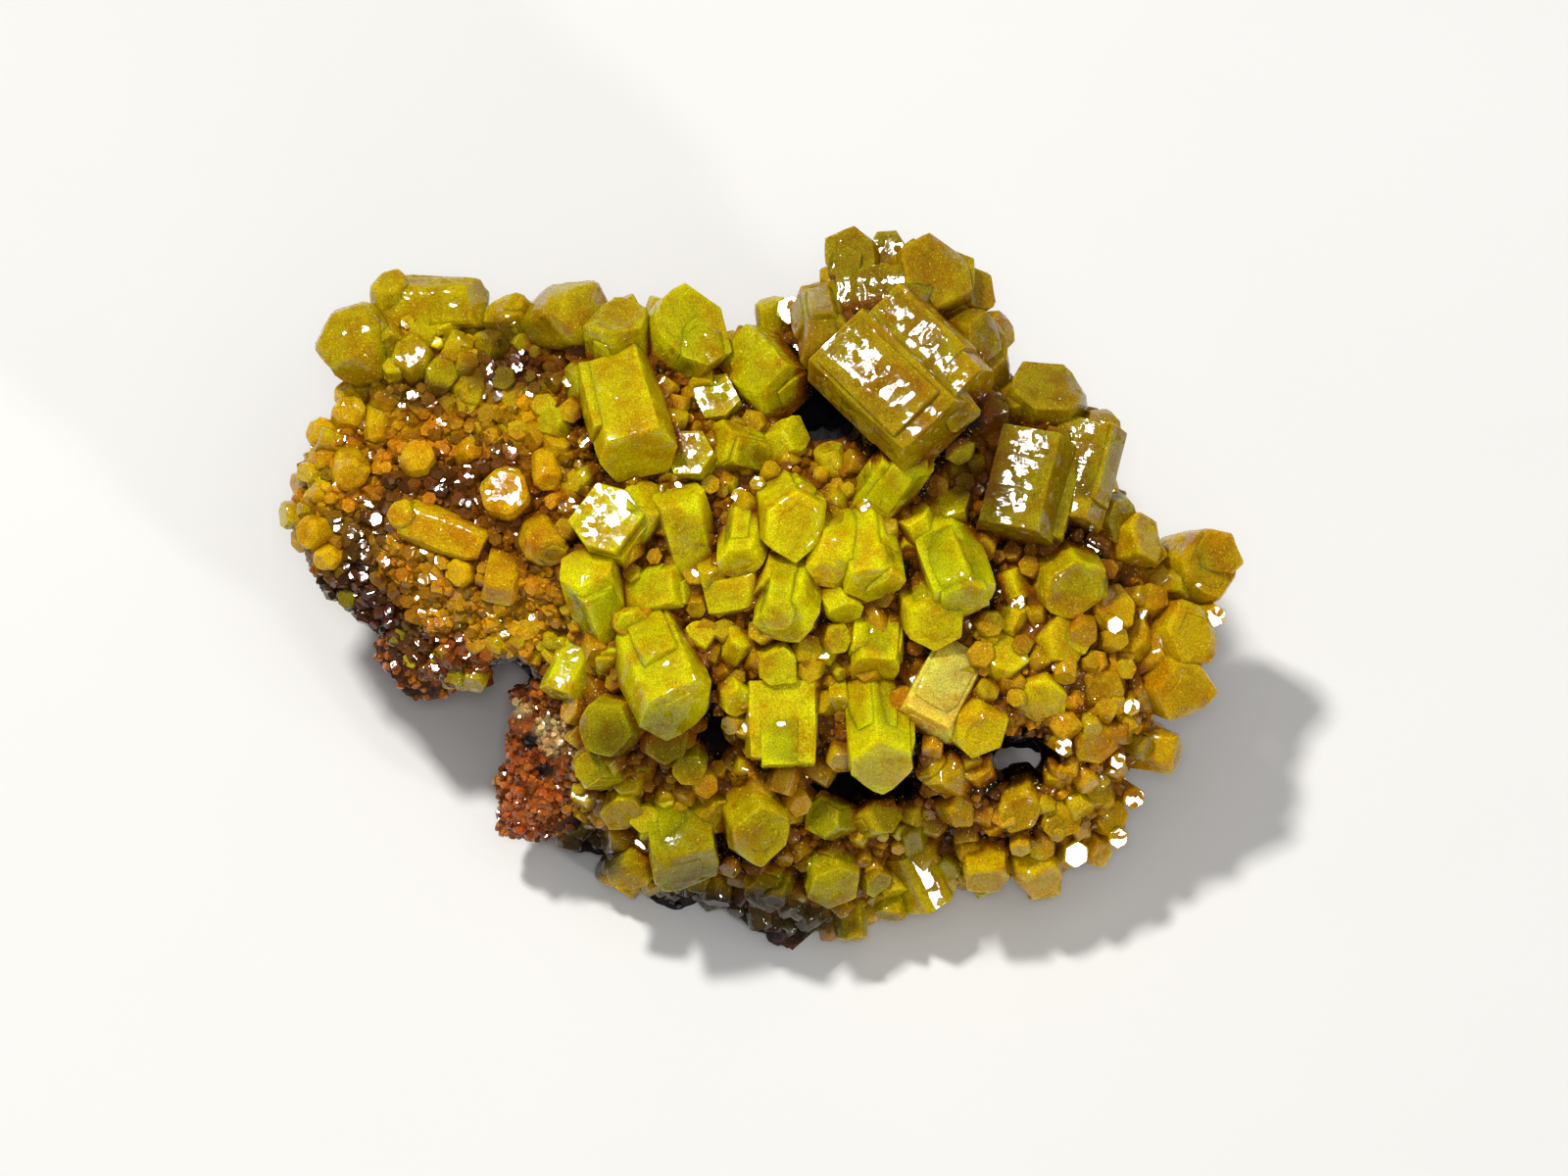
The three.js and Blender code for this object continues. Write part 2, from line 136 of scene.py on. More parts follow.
RIGHT_RIM = [
    [23.1, 3.5, 3.6, 4.0, 12, 42], [27.3, 1.7, 4.4, 4.4, 8, 32, 10], [25.2, 1.0, 2.2, 3.6, 0, 70],
    [26.2, -2.7, 4.2, 4.6, 15, 34, 10], [25.7, -5.5, 4.2, 4.8, -30, 36],
    [23.6, -6.0, 2.4, 3.2, -40, 45], [23.6, -9.5, 2.7, 5.6, -10, 78], [21.4, -1.2, 3.0, 3.8, 40, 28],
    [23.4, -3.2, 2.7, 3.6, 120, 30, 20], [21.2, -5.2, 3.0, 3.8, -100, 30],
    [20.4, -8.6, 3.0, 4.0, -60, 30, 15], [24.2, -0.7, 2.2, 3.2, 60, 35],
    [28.1, -0.9, 1.3, 3.6, 0, 15], [21.3, -1.3, 1.1, 4.6, 0, 15], [18.1, -9.1, 1.1, 4.2, 0, 15],
    [21.7, -10.1, 1.0, 4.0, 0, 15], [22.5, -6.6, 1.1, 4.2, 0, 15],
]
CENTRE = [
    [-9.9, 4.2, 3.9, 5.0, 150, 56, 0, 0.7], [-8.2, 4.9, 3.0, 4.4, 65, 42],
    [-5.2, 4.3, 3.0, 5.4, 105, 56, 0, 0.7], [1.3, 5.3, 4.3, 5.0, -60, 24],
    [-1.7, 3.5, 2.9, 4.4, -95, 42], [-11.0, 0.2, 3.3, 5.0, 110, 46, 10, 0.65],
    [-7.1, 0.5, 2.6, 3.6, 10, 62, 0, 0.75], [-8.7, -1.4, 2.3, 3.0, -80, 20],
    [1.3, 0.0, 3.6, 5.2, -100, 42, 10], [-2.0, 0.1, 2.3, 3.4, 10, 62, 0, 0.75],
    [4.2, -0.1, 2.3, 3.4, -60, 50], [4.3, 3.0, 3.2, 4.4, -100, 40], [6.4, 2.6, 3.5, 5.2, -80, 46, 10],
    [7.8, 7.2, 3.5, 5.4, 55, 50, 0, 0.6], [11.8, 5.4, 2.3, 3.0, 100, 30],
    [11.7, 2.1, 3.9, 6.4, -70, 50, 10, 0.6], [9.9, 3.6, 2.2, 4.2, 110, 62],
    [10.0, -0.6, 3.7, 4.8, -60, 36], [14.9, 0.5, 2.0, 3.2, 20, 62, 0, 0.75],
    [14.8, -1.3, 2.3, 3.6, -20, 60], [18.9, 1.4, 4.2, 5.0, -60, 28],
    [8.4, 2.9, 1.9, 2.4, -60, 30], [-3.8, 1.7, 1.8, 2.6, -60, 40],
]
LOWER_FACE = [
    [6.9, -3.1, 3.0, 3.9, -95, 56, 0, 0.8], [0.6, -4.0, 2.6, 3.4, -80, 22, 15, 0.6],
    [-6.5, -5.1, 4.8, 6.4, -65, 48, 0, 0.65], [0.9, -8.1, 4.2, 5.0, -90, 84, 0, 0.85],
    [6.9, -8.5, 4.3, 6.2, -85, 54, 30],
    [13.0, -7.7, 3.6, 4.4, -70, 30], [17.2, -5.8, 3.3, 4.0, -80, 30, 10],
    [17.9, -3.2, 3.0, 4.0, 20, 36], [14.6, -4.4, 2.9, 3.8, 60, 34], [12.4, -4.6, 2.2, 3.0, -90, 40],
    [-12.6, -4.9, 2.7, 3.4, -120, 40], [-10.0, -3.6, 2.0, 2.6, -80, 35],
    [9.0, -5.0, 1.7, 2.0, -60, 40], [-2.4, -6.0, 2.0, 2.8, -60, 40], [3.6, -3.6, 1.7, 2.4, 80, 30],
    [-4.4, -2.8, 1.8, 2.4, 80, 30], [-2.0, -3.2, 1.8, 2.4, 60, 40], [4.4, -6.2, 1.7, 2.4, -90, 40],
]
# One broad pale crystal that lies over its neighbours.
PALE_PLATE = [[10.9, -6.1, 3.6, 5.4, -118, 68, 0, 0.8]]
LOWER_BAND = [
    [-5.7, -15.3, 4.2, 5.6, -82, 62, 0, 0.85], [-1.0, -14.2, 4.0, 4.8, -65, 34, 10],
    [-3.9, -13.6, 2.2, 3.2, -30, 50], [0.2, -17.9, 2.7, 4.0, -110, 50],
    [-9.6, -8.0, 3.7, 4.4, -160, 28], [-6.9, -8.7, 2.8, 3.4, -60, 34],
    [-10.6, -10.9, 2.6, 3.4, 180, 40], [-8.0, -10.9, 1.8, 2.4, 90, 30],
    [-9.4, -13.0, 2.7, 3.6, -90, 34], [-8.3, -16.6, 2.6, 4.2, -120, 50],
    [-5.1, -10.4, 2.2, 3.0, -90, 30], [4.2, -14.2, 2.6, 3.2, 180, 30],
    [6.7, -14.3, 2.5, 3.2, 20, 30, 10], [4.0, -17.3, 3.2, 4.2, -80, 42, 10],
    [6.5, -17.7, 1.8, 3.2, -60, 45], [5.3, -20.2, 2.1, 4.2, -88, 74],
    [9.7, -18.0, 3.1, 4.2, -48, 70, 30], [9.2, -15.4, 2.0, 2.8, 100, 40],
    [8.0, -19.4, 2.0, 3.2, -100, 60],
]
LOWER_RIGHT = [
    [11.6, -11.3, 2.9, 3.8, 150, 34], [13.3, -11.0, 2.4, 3.2, 60, 34], [11.8, -13.3, 2.6, 3.4, -30, 34],
    [13.9, -16.4, 2.9, 4.8, -90, 58, 0, 0.7], [16.9, -16.8, 2.9, 4.4, -62, 55, 0, 0.7],
    [17.8, -18.2, 1.9, 2.8, -85, 70], [19.1, -16.2, 1.7, 4.0, 0, 20], [20.6, -15.9, 2.2, 3.0, -40, 55],
    [21.9, -15.2, 1.3, 3.6, 0, 20], [22.9, -12.6, 1.4, 3.6, 0, 20], [21.4, -14.0, 2.2, 3.0, -20, 40],
    [20.6, -12.6, 2.7, 3.6, 30, 30], [18.8, -11.4, 2.5, 3.4, 80, 34],
    [16.0, -13.0, 2.9, 3.6, -90, 30, 10], [18.6, -13.4, 2.7, 3.6, -70, 32],
    [15.0, -14.2, 2.2, 3.0, 180, 34], [21.2, -10.4, 2.3, 3.2, 20, 45],
]
LEFT_DRUSE = [
    [-20.6, 4.0, 2.5, 5.6, -20, 76, 0, 0.7], [-22.9, 4.8, 2.1, 2.8, 150, 44],
    [-16.6, 6.2, 3.0, 3.6, 60, 30, 10], [-14.5, 3.8, 2.7, 3.8, -70, 36],
    [-17.0, 1.3, 2.2, 3.2, -100, 56, 0, 0.8], [-14.2, 8.3, 1.8, 3.0, -80, 42],
    [-22.3, 8.5, 2.2, 2.8, 90, 22], [-19.4, 1.5, 1.8, 2.4, 180, 34],
    [-26.7, 8.3, 2.4, 3.2, -90, 22, 10],
    [-28.3, 10.3, 2.0, 2.4, 160, 45], [-26.9, 11.4, 2.1, 2.8, 90, 28], [-25.1, 11.1, 1.6, 3.2, -90, 60],
    [-28.3, 8.8, 1.8, 2.2, 172, 55], [-28.5, 6.6, 1.5, 2.0, 160, 50], [-28.9, 4.2, 2.1, 2.4, 190, 45],
    [-26.8, 12.7, 1.8, 2.2, 130, 45], [-24.6, 12.6, 2.0, 2.4, 60, 30], [-19.2, 9.2, 1.6, 2.2, 40, 30],
    [-28.0, 2.6, 1.6, 2.2, 215, 52],
]

# ---- Light and view ----
# The camera and the lights look at this place on the face.
AIM_AT = np.array([1.0, 0.5, 0.0])
LIGHT_DISTANCE = 600.0
VIEW_DISTANCE = 600.0
VIEW_WIDTH = 100.0
KEY_FROM = np.array([-0.35, 0.64, 0.80])
KEY_FROM = KEY_FROM / np.linalg.norm(KEY_FROM)
SIDE_FROM = np.array([0.75, -0.5, 0.7])
SIDE_FROM = SIDE_FROM / np.linalg.norm(SIDE_FROM)

# Share of the small crystals whose end happens to mirror the key light at the viewer.
GLINT_SHARE = 0.055
LEFT_GLINT_SHARE = 0.12

# Crystals with a face that mirrors a light at the viewer, as [x, y].
CATCH_KEY = np.array([
    [-4.8, 8.6], [7.7, 12.9], [10.0, 15.1], [1.7, 17.8], [7.9, 21.8], [6.8, 19.1], [16.4, 6.9],
    [19.8, 7.6], [-9.9, 4.2], [-16.6, 6.2], [-3.1, 12.3], [13.3, -11.0], [3.6, -3.6], [-12.6, -4.9],
    [9.0, -5.0],
])
CATCH_SIDE = np.array([
    [9.7, -18.0], [22.9, -12.6], [21.9, -15.2], [19.1, -16.2], [20.6, 3.1], [28.1, -0.9], [21.3, -1.3],
    [18.1, -9.1], [21.7, -10.1], [22.5, -6.6],
])

# ---- Small crystals ----
# How many places are tried for each kind, and the widths of the crystals that grow there.
SMALL_TRIES, SMALL_SIZES = 14000, (0.7, 1.9)
DRUSE_TRIES, DRUSE_SIZES = 34000, (0.25, 0.75)
GRAIN_TRIES, GRAIN_SIZES = 24000, (0.22, 0.6)
# Share of its length by which the middle of a small crystal stands off the surface.
SMALL_LIFT = 0.22
# No small crystal stands this near the middle of the see-through hole.
HOLE_AT = np.array([15.8, -10.3])
HOLE_CLEAR = 3.0

# ---- Colours, linear ----
LEMON = np.array([0.66, 0.59, 0.003])
GOLD = np.array([0.62, 0.37, 0.002])
OLIVE = np.array([0.34, 0.27, 0.003])
HONEY = np.array([0.42, 0.23, 0.002])
AMBER = np.array([0.46, 0.17, 0.006])
RUST = np.array([0.30, 0.070, 0.012])
BROWN = np.array([0.085, 0.026, 0.009])
CREAM = np.array([0.66, 0.49, 0.20])
# Near black: painted shade in the gaps and pockets, and the darker lower edge.
NEAR_BLACK = np.array([0.008, 0.006, 0.008])


# ---- Numbers: noise and directions ----
def hashed(cells, seed):
    """A number from 0 to 1 for each row of whole numbers, always the same for the same row."""
    mixed = (cells[:, 0] * 374761393 + cells[:, 1] * 668265263 + cells[:, 2] * 1440662683
             + seed * 1274126177) & 0xFFFFFFFF
    mixed = ((mixed ^ (mixed >> 13)) * 1274126177) & 0xFFFFFFFF
    return ((mixed ^ (mixed >> 16)) & 0xFFFFFF) / 0xFFFFFF


def noise(points, size, seed):
    """Smooth noise from -1 to 1, with features of about the given size."""
    scaled = points / size
    cell = np.floor(scaled).astype(np.int64)
    inside = scaled - cell
    inside = inside * inside * (3 - 2 * inside)
    total = np.zeros(len(points))
    for corner in np.ndindex(2, 2, 2):
        weight = np.prod(np.where(corner, inside, 1 - inside), axis=1)
        total += weight * hashed(cell + corner, seed)
    return 2 * total - 1


def nearest_seed(points, size, seed):
    """Distance from each point to the nearest of a scatter of seeds, as a share of their spacing."""
    scaled = points / size
    cell = np.floor(scaled).astype(np.int64)
    best = np.full(len(points), 9.0)
    for step in np.ndindex(3, 3, 3):
        there = cell + np.array(step) - 1
        spot = there + np.stack([hashed(there, seed + k) for k in (1, 2, 3)], axis=1)
        best = np.minimum(best, np.linalg.norm(scaled - spot, axis=1))
    return best


def unit(vectors):
    return vectors / np.maximum(np.linalg.norm(vectors, axis=-1, keepdims=True), 1e-9)


def glint_normal(spots, light_from):
    """Way a flat face at each place must look to mirror a light at the viewer."""
    to_light = unit(AIM_AT + light_from * LIGHT_DISTANCE - spots)
    to_eye = unit(AIM_AT + [0, 0, VIEW_DISTANCE] - spots)
    return unit(to_light + to_eye)


def turn_z(angle):
    c, s = math.cos(angle), math.sin(angle)
    return np.array([[c, -s, 0], [s, c, 0], [0, 0, 1]])


def turn_y(angle):
    c, s = math.cos(angle), math.sin(angle)
    return np.array([[c, 0, s], [0, 1, 0], [-s, 0, c]])


def to_world(points):
    return (points @ TILT.T + FACE_AT) * MM


def to_face(points):
    return (points / MM - FACE_AT) @ TILT


# ---- The face ----
SPOKES = RIM - MIDDLE
SPOKE_ANGLE = np.arctan2(SPOKES[:, 1], SPOKES[:, 0]) % (2 * math.pi)
SPOKE_ORDER = np.argsort(SPOKE_ANGLE)
SPOKE_REACH = np.hypot(SPOKES[:, 0], SPOKES[:, 1])


def rim_radius(angle):
    """Distance from the middle of the face to its rim, this way round."""
    return np.interp(angle % (2 * math.pi), SPOKE_ANGLE[SPOKE_ORDER], SPOKE_REACH[SPOKE_ORDER],
                     period=2 * math.pi)


def rim_share(x, y):
    """How far out the point (x, y) lies, from 0 at the middle of the face to 1 at its rim."""
    dx, dy = x - MIDDLE[0], y - MIDDLE[1]
    return np.hypot(dx, dy) / rim_radius(np.arctan2(dy, dx))


def smooth(value, low, high):
    """0 up to the low value and 1 from the high value on, with a smooth rise between."""
    t = np.clip((value - low) / (high - low), 0, 1)
    return t * t * (3 - 2 * t)


def face_height(x, y):
    """Height of the crust's surface over the point (x, y) of the face."""
    out = np.minimum(DOME_END, rim_share(x, y))
    height = -RIM_DROP * out ** 3 - LOWER_DROP * smooth(-y, -LOWER_START, -LOWER_END)
    for bump_x, bump_y, rise, spread in MOUNDS:
        height = height + rise * np.exp(-((x - bump_x) ** 2 + (y - bump_y) ** 2) / spread ** 2)
    return height


# ---- Meshes ----
# Edges sharper than this stay sharp where faces are shaded smooth.
SHARP = math.radians(35)


def mesh_object(name, points, faces):
    """An object from points in the face frame. faces is a list of arrays, each of quads or triangles."""
    mesh = bpy.data.meshes.new(name)
    mesh.from_pydata(to_world(points).tolist(), [], [row for block in faces for row in block.tolist()])
    obj = bpy.data.objects.new(name, mesh)
    bpy.context.scene.collection.objects.link(obj)
    return obj


def make_piece(name, points, faces, material, values, sharp=None):
    """A finished piece, with values at its points for its material to read."""
    piece = mesh_object(name, points, faces)
    mesh = piece.data
    mesh.validate()
    for key, array in values.items():
        kind, field = ("FLOAT", "value") if array.ndim == 1 else ("FLOAT_VECTOR", "vector")
        layer = mesh.attributes.new(key, kind, "POINT")
        layer.data.foreach_set(field, array.astype(np.float32).ravel())
    mesh.shade_smooth()
    if sharp is not None:
        mesh.set_sharp_from_angle(angle=sharp)
    mesh.materials.append(material)
    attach(piece, "root")
    return piece


class Pile:
    """Many small solids gathered into one mesh, with values at their points."""

    def __init__(self):
        self.points, self.faces, self.values, self.count = [], [], {}, 0

    def add(self, points, faces, **values):
        self.points.append(points)
        self.faces += [block + self.count for block in faces]
        for key, array in values.items():
            self.values.setdefault(key, []).append(array)
        self.count += len(points)

    def make(self, name, material, slot, shade):
        values = {key: np.concatenate(arrays) for key, arrays in self.values.items()}
        points = np.concatenate(self.points)
        # Painted shade: deep says how far each point is darkened between the crystals.
        values["deep"] = shade(points)
        values["tone"] = painted_shade_and_tint(values["tone"], points)
        return make_piece(name, points, self.faces, material, values, SHARP)


def ring_faces(columns, rings):
    """Quads between rings of points, each ring after the one before."""
    column = np.arange(columns)
    beside = (column + 1) % columns
    blocks = []
    for ring in range(rings - 1):
        low, high = ring * columns, (ring + 1) * columns
        blocks.append(np.stack([low + column, low + beside, high + beside, high + column], axis=1))
    return np.concatenate(blocks)


def fan_faces(columns, start, tip, flip=False):
    """Triangles from a ring of points to one point at its tip."""
    column = np.arange(columns)
    beside = (column + 1) % columns
    if flip:
        column, beside = beside, column
    return np.stack([start + column, start + beside, np.full(columns, tip)], axis=1)


def closed_faces(columns, rings, count):
    """Faces of rings closed at both ends by the last two of the points, the upper tip and the lower."""
    return [
        ring_faces(columns, rings),
        fan_faces(columns, (rings - 1) * columns, count - 2),
        fan_faces(columns, 0, count - 1, flip=True),
    ]


# ---- Crystals ----
# How a crystal strays from an even prism, as shares of its width unless another is named.
CORNER_CUT = 0.025
CORNER_STRAY = (-0.12, 0.09)
BARREL = (0.01, 0.045)
BEVEL = (0.008, 0.026)
# Steps in its growth: their places as shares of half its length, and the change of width at each.
STEP_AT = (-0.25, 0.8)
STEP_CHANGE = (-0.014, 0.010)
# The free end: a low plate on it, off the middle, and the end's own tilt.
PLATE_DRIFT = (-0.12, 0.12)
PLATE_RISE = (-0.02, 0.025)
PLATE_ACROSS = (0.5, 0.85)
END_TILT = (-0.16, 0.16)
# Chipped corners, and where each cuts, as a share of the reach that way.
CHIPS = 3
CHIP_AT = (0.80, 0.98)
# Waves of its faces, as (length, height).
WAVE = (0.55, 0.017)
FINE_WAVE = (0.16, 0.006)
# What full softness adds to the cut corners, the barrel, the bevel and the waves.
SOFT_CUT, SOFT_BARREL, SOFT_BEVEL, SOFT_WAVE = 0.13, 0.08, 0.10, 0.03

# How calm the relief of a crystal that mirrors a light is, from 1 (smooth) to -1 (rough).
# Narrow crystals are as calm as those that mirror the side light.
CALM_SIDE = 0.8
CALM_KEY = -0.5
NARROW = 2.2

# Blocks grow beside a crystal wider than BLOCKS_FROM, as shares of its size. Most end below its top,
# and a few stand proud of it. None runs far past the end of a crystal that lies over.
BLOCKS_FROM = 2.4
BLOCK_SIZE = (0.5, 0.85)
BLOCK_TOP = (-0.30, 0.44)
PROUD_TOP = (0.54, 0.58)
PROUD_SHARE = 0.1
LYING_LEAN = 45


def hexagon(across, front, cuts, malform):
    """Points round a six-sided section, whose corners are cut off. cuts are places along each side."""
    half = across / 2
    corner = half / math.cos(math.pi / 6)
    edge = corner * front
    corners = np.array([
        [half, -edge], [half, edge], [0, corner], [-half, edge], [-half, -edge], [0, -corner],
    ])
    corners = corners * (1 + malform[:, None])
    after = np.roll(corners, -1, axis=0)
    return np.concatenate([corners[k] + np.outer(cuts, after[k] - corners[k]) for k in range(6)])


def crystal_form(across, length, front, root, soft, wild, rng):
    """A detailed crystal with its axis along z, centred on the origin.

    soft rounds its edges, and wild is how far it strays from flat, even faces. With its points and
    faces comes a value for each point: 1 at an edge, and less in the middle of a face. The material
    lightens the edges by this value, a painted highlight.
    """
    cut = CORNER_CUT + SOFT_CUT * soft
    cuts = np.array([cut, 0.33, 0.67, 1 - cut])
    corner = np.tile([1.0, 0.1, 0.1, 1.0], 6)
    outline = hexagon(across, front, cuts, rng.uniform(*CORNER_STRAY, 6) * wild)
    columns = len(outline)
    half = length / 2
    barrel = (rng.uniform(*BARREL) + SOFT_BARREL * soft) * (0.1 + 0.9 * wild)
    bevel = (rng.uniform(*BEVEL) + SOFT_BEVEL * soft) * across
    steps = np.sort(rng.uniform(*STEP_AT, rng.integers(1, 4))) * half
    heights = np.concatenate([
        [-half], np.linspace(-0.8 * half, half - bevel, 6), steps - 0.02, steps + 0.02,
    ])
    heights = np.sort(heights)
    changes = rng.uniform(*STEP_CHANGE, len(steps))
    rings = []
    for height in heights:
        along = height / half
        size = 1 - barrel * along * along
        size *= 1 + np.sum(changes[steps < height])
        if root < 1:
            size *= root + (1 - root) * min(1, (along + 1) / 1.2)
        rings.append((size, height, 0, 0))
    inner = rings[-1][0] - 2 * bevel / across
    drift = rng.uniform(*PLATE_DRIFT, 2) * across
    rise = rng.uniform(*PLATE_RISE) * across * wild
    plate = rng.uniform(*PLATE_ACROSS)
    rings += [
        (inner, half, 0, 0),
        (inner * (plate + 0.02), half + 0.004 * across * wild, drift[0] * 0.3, drift[1] * 0.3),
        (inner * plate, half + rise, drift[0] * 0.3, drift[1] * 0.3),
        (inner * 0.32, half + rise, drift[0], drift[1]),
        (inner * 0.25, half + 1.2 * rise, drift[0], drift[1]),
    ]
    points = np.concatenate([
        np.column_stack([outline[:, 0] * s + dx, outline[:, 1] * s + dy, np.full(columns, z)])
        for s, z, dx, dy in rings
    ])
    points = np.vstack([points, [drift[0], drift[1], half + 1.2 * rise], [0, 0, -half]])
    rims = np.zeros(len(rings))
    rims[-6:] = [1.0, 1.0, 0.3, 0.25, 0.0, 0.0]
    edge = np.maximum(rims[:, None], corner * (np.arange(len(rings)) < len(heights))[:, None])
    edge = np.append(edge.ravel(), [0.0, 0.0])
    faces = closed_faces(columns, len(rings), len(points))
    lift = smooth(points[:, 2], 0, half)
    points[:, 2] += lift * (points[:, :2] @ rng.uniform(*END_TILT, 2)) * wild
    for _ in range(CHIPS if wild else 0):
        chip = rng.normal(0, 1, 3)
        chip[2] = abs(chip[2]) * 0.8
        chip = chip / np.linalg.norm(chip)
        past = points @ chip
        past = np.maximum(0, past - rng.uniform(*CHIP_AT) * past.max())
        points = points - past[:, None] * chip
    shove = rng.uniform(0, 500, 3)
    wave = np.stack([noise(points + shove, WAVE[0] * across, k) for k in range(3)], axis=1)
    fine = np.stack([noise(points + shove, FINE_WAVE[0] * across, 7 + k) for k in range(3)], axis=1)
    points = points + ((WAVE[1] + SOFT_WAVE * soft) * wave + FINE_WAVE[1] * fine) * across * wild
    return points, faces, edge * (1 - 0.6 * soft)


def simple_form(rng, columns_per_side):
    """A small crystal one unit across and one unit long, with cut edges if it has two columns a side."""
    cuts = np.array([0.08, 0.92]) if columns_per_side == 2 else np.array([0.0])
    outline = hexagon(1.0, 0.5, cuts, rng.uniform(-0.10, 0.10, 6))
    columns = len(outline)
    # Its rings from the buried end up, as (width, height).
    rings = [(0.86, -0.5), (1.0, 0.0), (0.97, 0.44), (0.87, 0.5)]
    points = np.concatenate([
        np.column_stack([outline * s, np.full(columns, z)]) for s, z in rings
    ])
    points = np.vstack([points, [0, 0, 0.5 + rng.uniform(-0.03, 0.04)]])
    faces = [
        ring_faces(columns, len(rings)),
        fan_faces(columns, (len(rings) - 1) * columns, len(points) - 1),
    ]
    return points, faces


def padded_row(row):
    """The row with its roll, front and root filled in."""
    return list(row) + [0, 0.5, 1][len(row) - 6:]


def light_caught(x, y):
    """The direction of the light that the crystal here mirrors at the viewer, if it mirrors one."""
    for places, light_from in ((CATCH_KEY, KEY_FROM), (CATCH_SIDE, SIDE_FROM)):
        if np.min(np.hypot(*(places - [x, y]).T)) < 0.1:
            return light_from
    return None


def turn_between(start, end):
    """The least turn that takes one direction to another."""
    axis = np.cross(start, end)
    x, y, z = axis
    skew = np.array([[0, -z, y], [z, 0, -x], [-y, x, 0]])
    return np.eye(3) + skew + skew @ skew / (1 + start @ end)


SIDE_FACES = [turn_z(math.radians(60 * k)) @ np.array([1.0, 0, 0]) for k in range(6)]
FLAT_FACES = SIDE_FACES + [np.array([0, 0, 1.0])]


def stand_crystal(row, form):
    """Turns a crystal's points as its row says and stands it on the crust.

    Where the crystal is one that catches the light, its nearest flat face is brought square on to it.
    """
    x, y, across, length, heading, lean, roll = row[:7]
    tip = math.radians(lean)
    spin = turn_z(math.radians(heading)) @ turn_y(tip) @ turn_z(math.radians(roll))
    light_from = light_caught(x, y)
    if light_from is not None:
        mirror = glint_normal(np.array([x, y, face_height(x, y)]), light_from)
        facing = [spin @ face for face in FLAT_FACES]
        nearest = max(facing, key=lambda normal: normal @ mirror)
        spin = turn_between(nearest, mirror) @ spin
    stand = (across * math.sin(tip) + length * math.cos(tip)) / 2 - CRYSTAL_BITE * across
    return form @ spin.T + np.array([x, y, face_height(x, y) + stand]), spin


def add_large(pile, rows, rng, colour_of, soft):
    """Adds each crystal of a table, with the blocks beside it that share its growth."""
    for raw in rows:
        row = padded_row(raw)
        x, y, across, length, _, lean, _, front, root = row
        light_from = light_caught(x, y)
        wild, calm = 1, 0.0
        if light_from is not None:
            wild = 0
            calm = CALM_SIDE if across < NARROW or light_from is SIDE_FROM else CALM_KEY
        form, faces, edge = crystal_form(across, length, front, root, soft, wild, rng)
        points, spin = stand_crystal(row, form)
        tone = colour_of(rng)
        add_crystal(pile, points, faces, form, edge, tone, calm, rng)
        middle = stand_crystal(row, np.zeros((1, 3)))[0][0]
        for _ in range(rng.integers(1, 4) if across > BLOCKS_FROM else 0):
            size = rng.uniform(*BLOCK_SIZE)
            form, faces, edge = crystal_form(across * size, length * size, front, 1, soft, wild, rng)
            sector = math.radians(60) * rng.integers(0, 6) + rng.uniform(-0.3, 0.3)
            out = across * (0.53 - 0.5 * size + rng.uniform(0.0, 0.06))
            aside = np.array([math.cos(sector) * out, math.sin(sector) * out, 0])
            top = rng.uniform(*(BLOCK_TOP if rng.random() < 1 - PROUD_SHARE else PROUD_TOP))
            if lean > LYING_LEAN:
                top = max(top, size - 0.52)
            aside[2] = length * (top - 0.5 * size)
            wobble = turn_y(rng.uniform(-0.05, 0.05))
            add_crystal(pile, (form @ wobble.T + aside) @ spin.T + middle, faces, form, edge,
                        tone * rng.uniform(0.94, 1.04), calm, rng)


def add_crystal(pile, points, faces, form, edge, colour, calm, rng):
    """Adds one crystal. Its material's pattern follows its own form, from a random start."""
    pile.add(points, faces, tone=np.tile(colour, (len(points), 1)), edge=edge,
             calm=np.full(len(points), calm), local=form + rng.uniform(0, 300, 3))


def scatter(pile, forms, spots, normals, sizes, lengths, spread, colours, rng, glints=GLINT_SHARE):
    """Adds many small crystals at once, which lean off the surface's normals by about the spread."""
    count = len(spots)
    axis = unit(normals + spread * rng.normal(0, 1, (count, 3)))
    bright = rng.random(count) < glints
    near_glint = rng.normal(0, 0.02, (np.count_nonzero(bright), 3))
    axis[bright] = unit(glint_normal(spots[bright], KEY_FROM) + near_glint)
    side = unit(np.cross(axis, rng.normal(0, 1, (count, 3))))
    third = np.cross(axis, side)
    turns = np.stack([side, third, axis], axis=2)
    which = rng.integers(0, len(forms), count)
    for k, (form, faces) in enumerate(forms):
        chosen = np.nonzero(which == k)[0]
        if not len(chosen):
            continue
        scale = np.stack([sizes[chosen], sizes[chosen], lengths[chosen]], axis=1)
        local = form[None] * scale[:, None, :]
        points = np.einsum("nij,npj->npi", turns[chosen], local)
        points += (spots[chosen] + axis[chosen] * lengths[chosen, None] * SMALL_LIFT)[:, None, :]
        offset = np.arange(len(chosen))[:, None, None] * len(form)
        blocks = [(offset + block[None]).reshape(-1, block.shape[1]) for block in faces]
        shove = rng.uniform(0, 300, (len(chosen), 1, 3))
        pile.add(points.reshape(-1, 3), blocks,
                 tone=np.repeat(colours[chosen], len(form), axis=0),
                 local=(local + shove).reshape(-1, 3))


# ---- Surfaces made by cutting and remeshing ----
CRUST_VOXEL = 0.3
ROCK_VOXEL = 0.34


def values_of(rows, field, kind=float):
    """One field of all rows of a mesh: three floats or one whole number for each."""
    width = 3 if kind is float else 1
    values = np.zeros(len(rows) * width, kind)
    rows.foreach_get(field, values)
    return values.reshape(-1, width) if kind is float else values


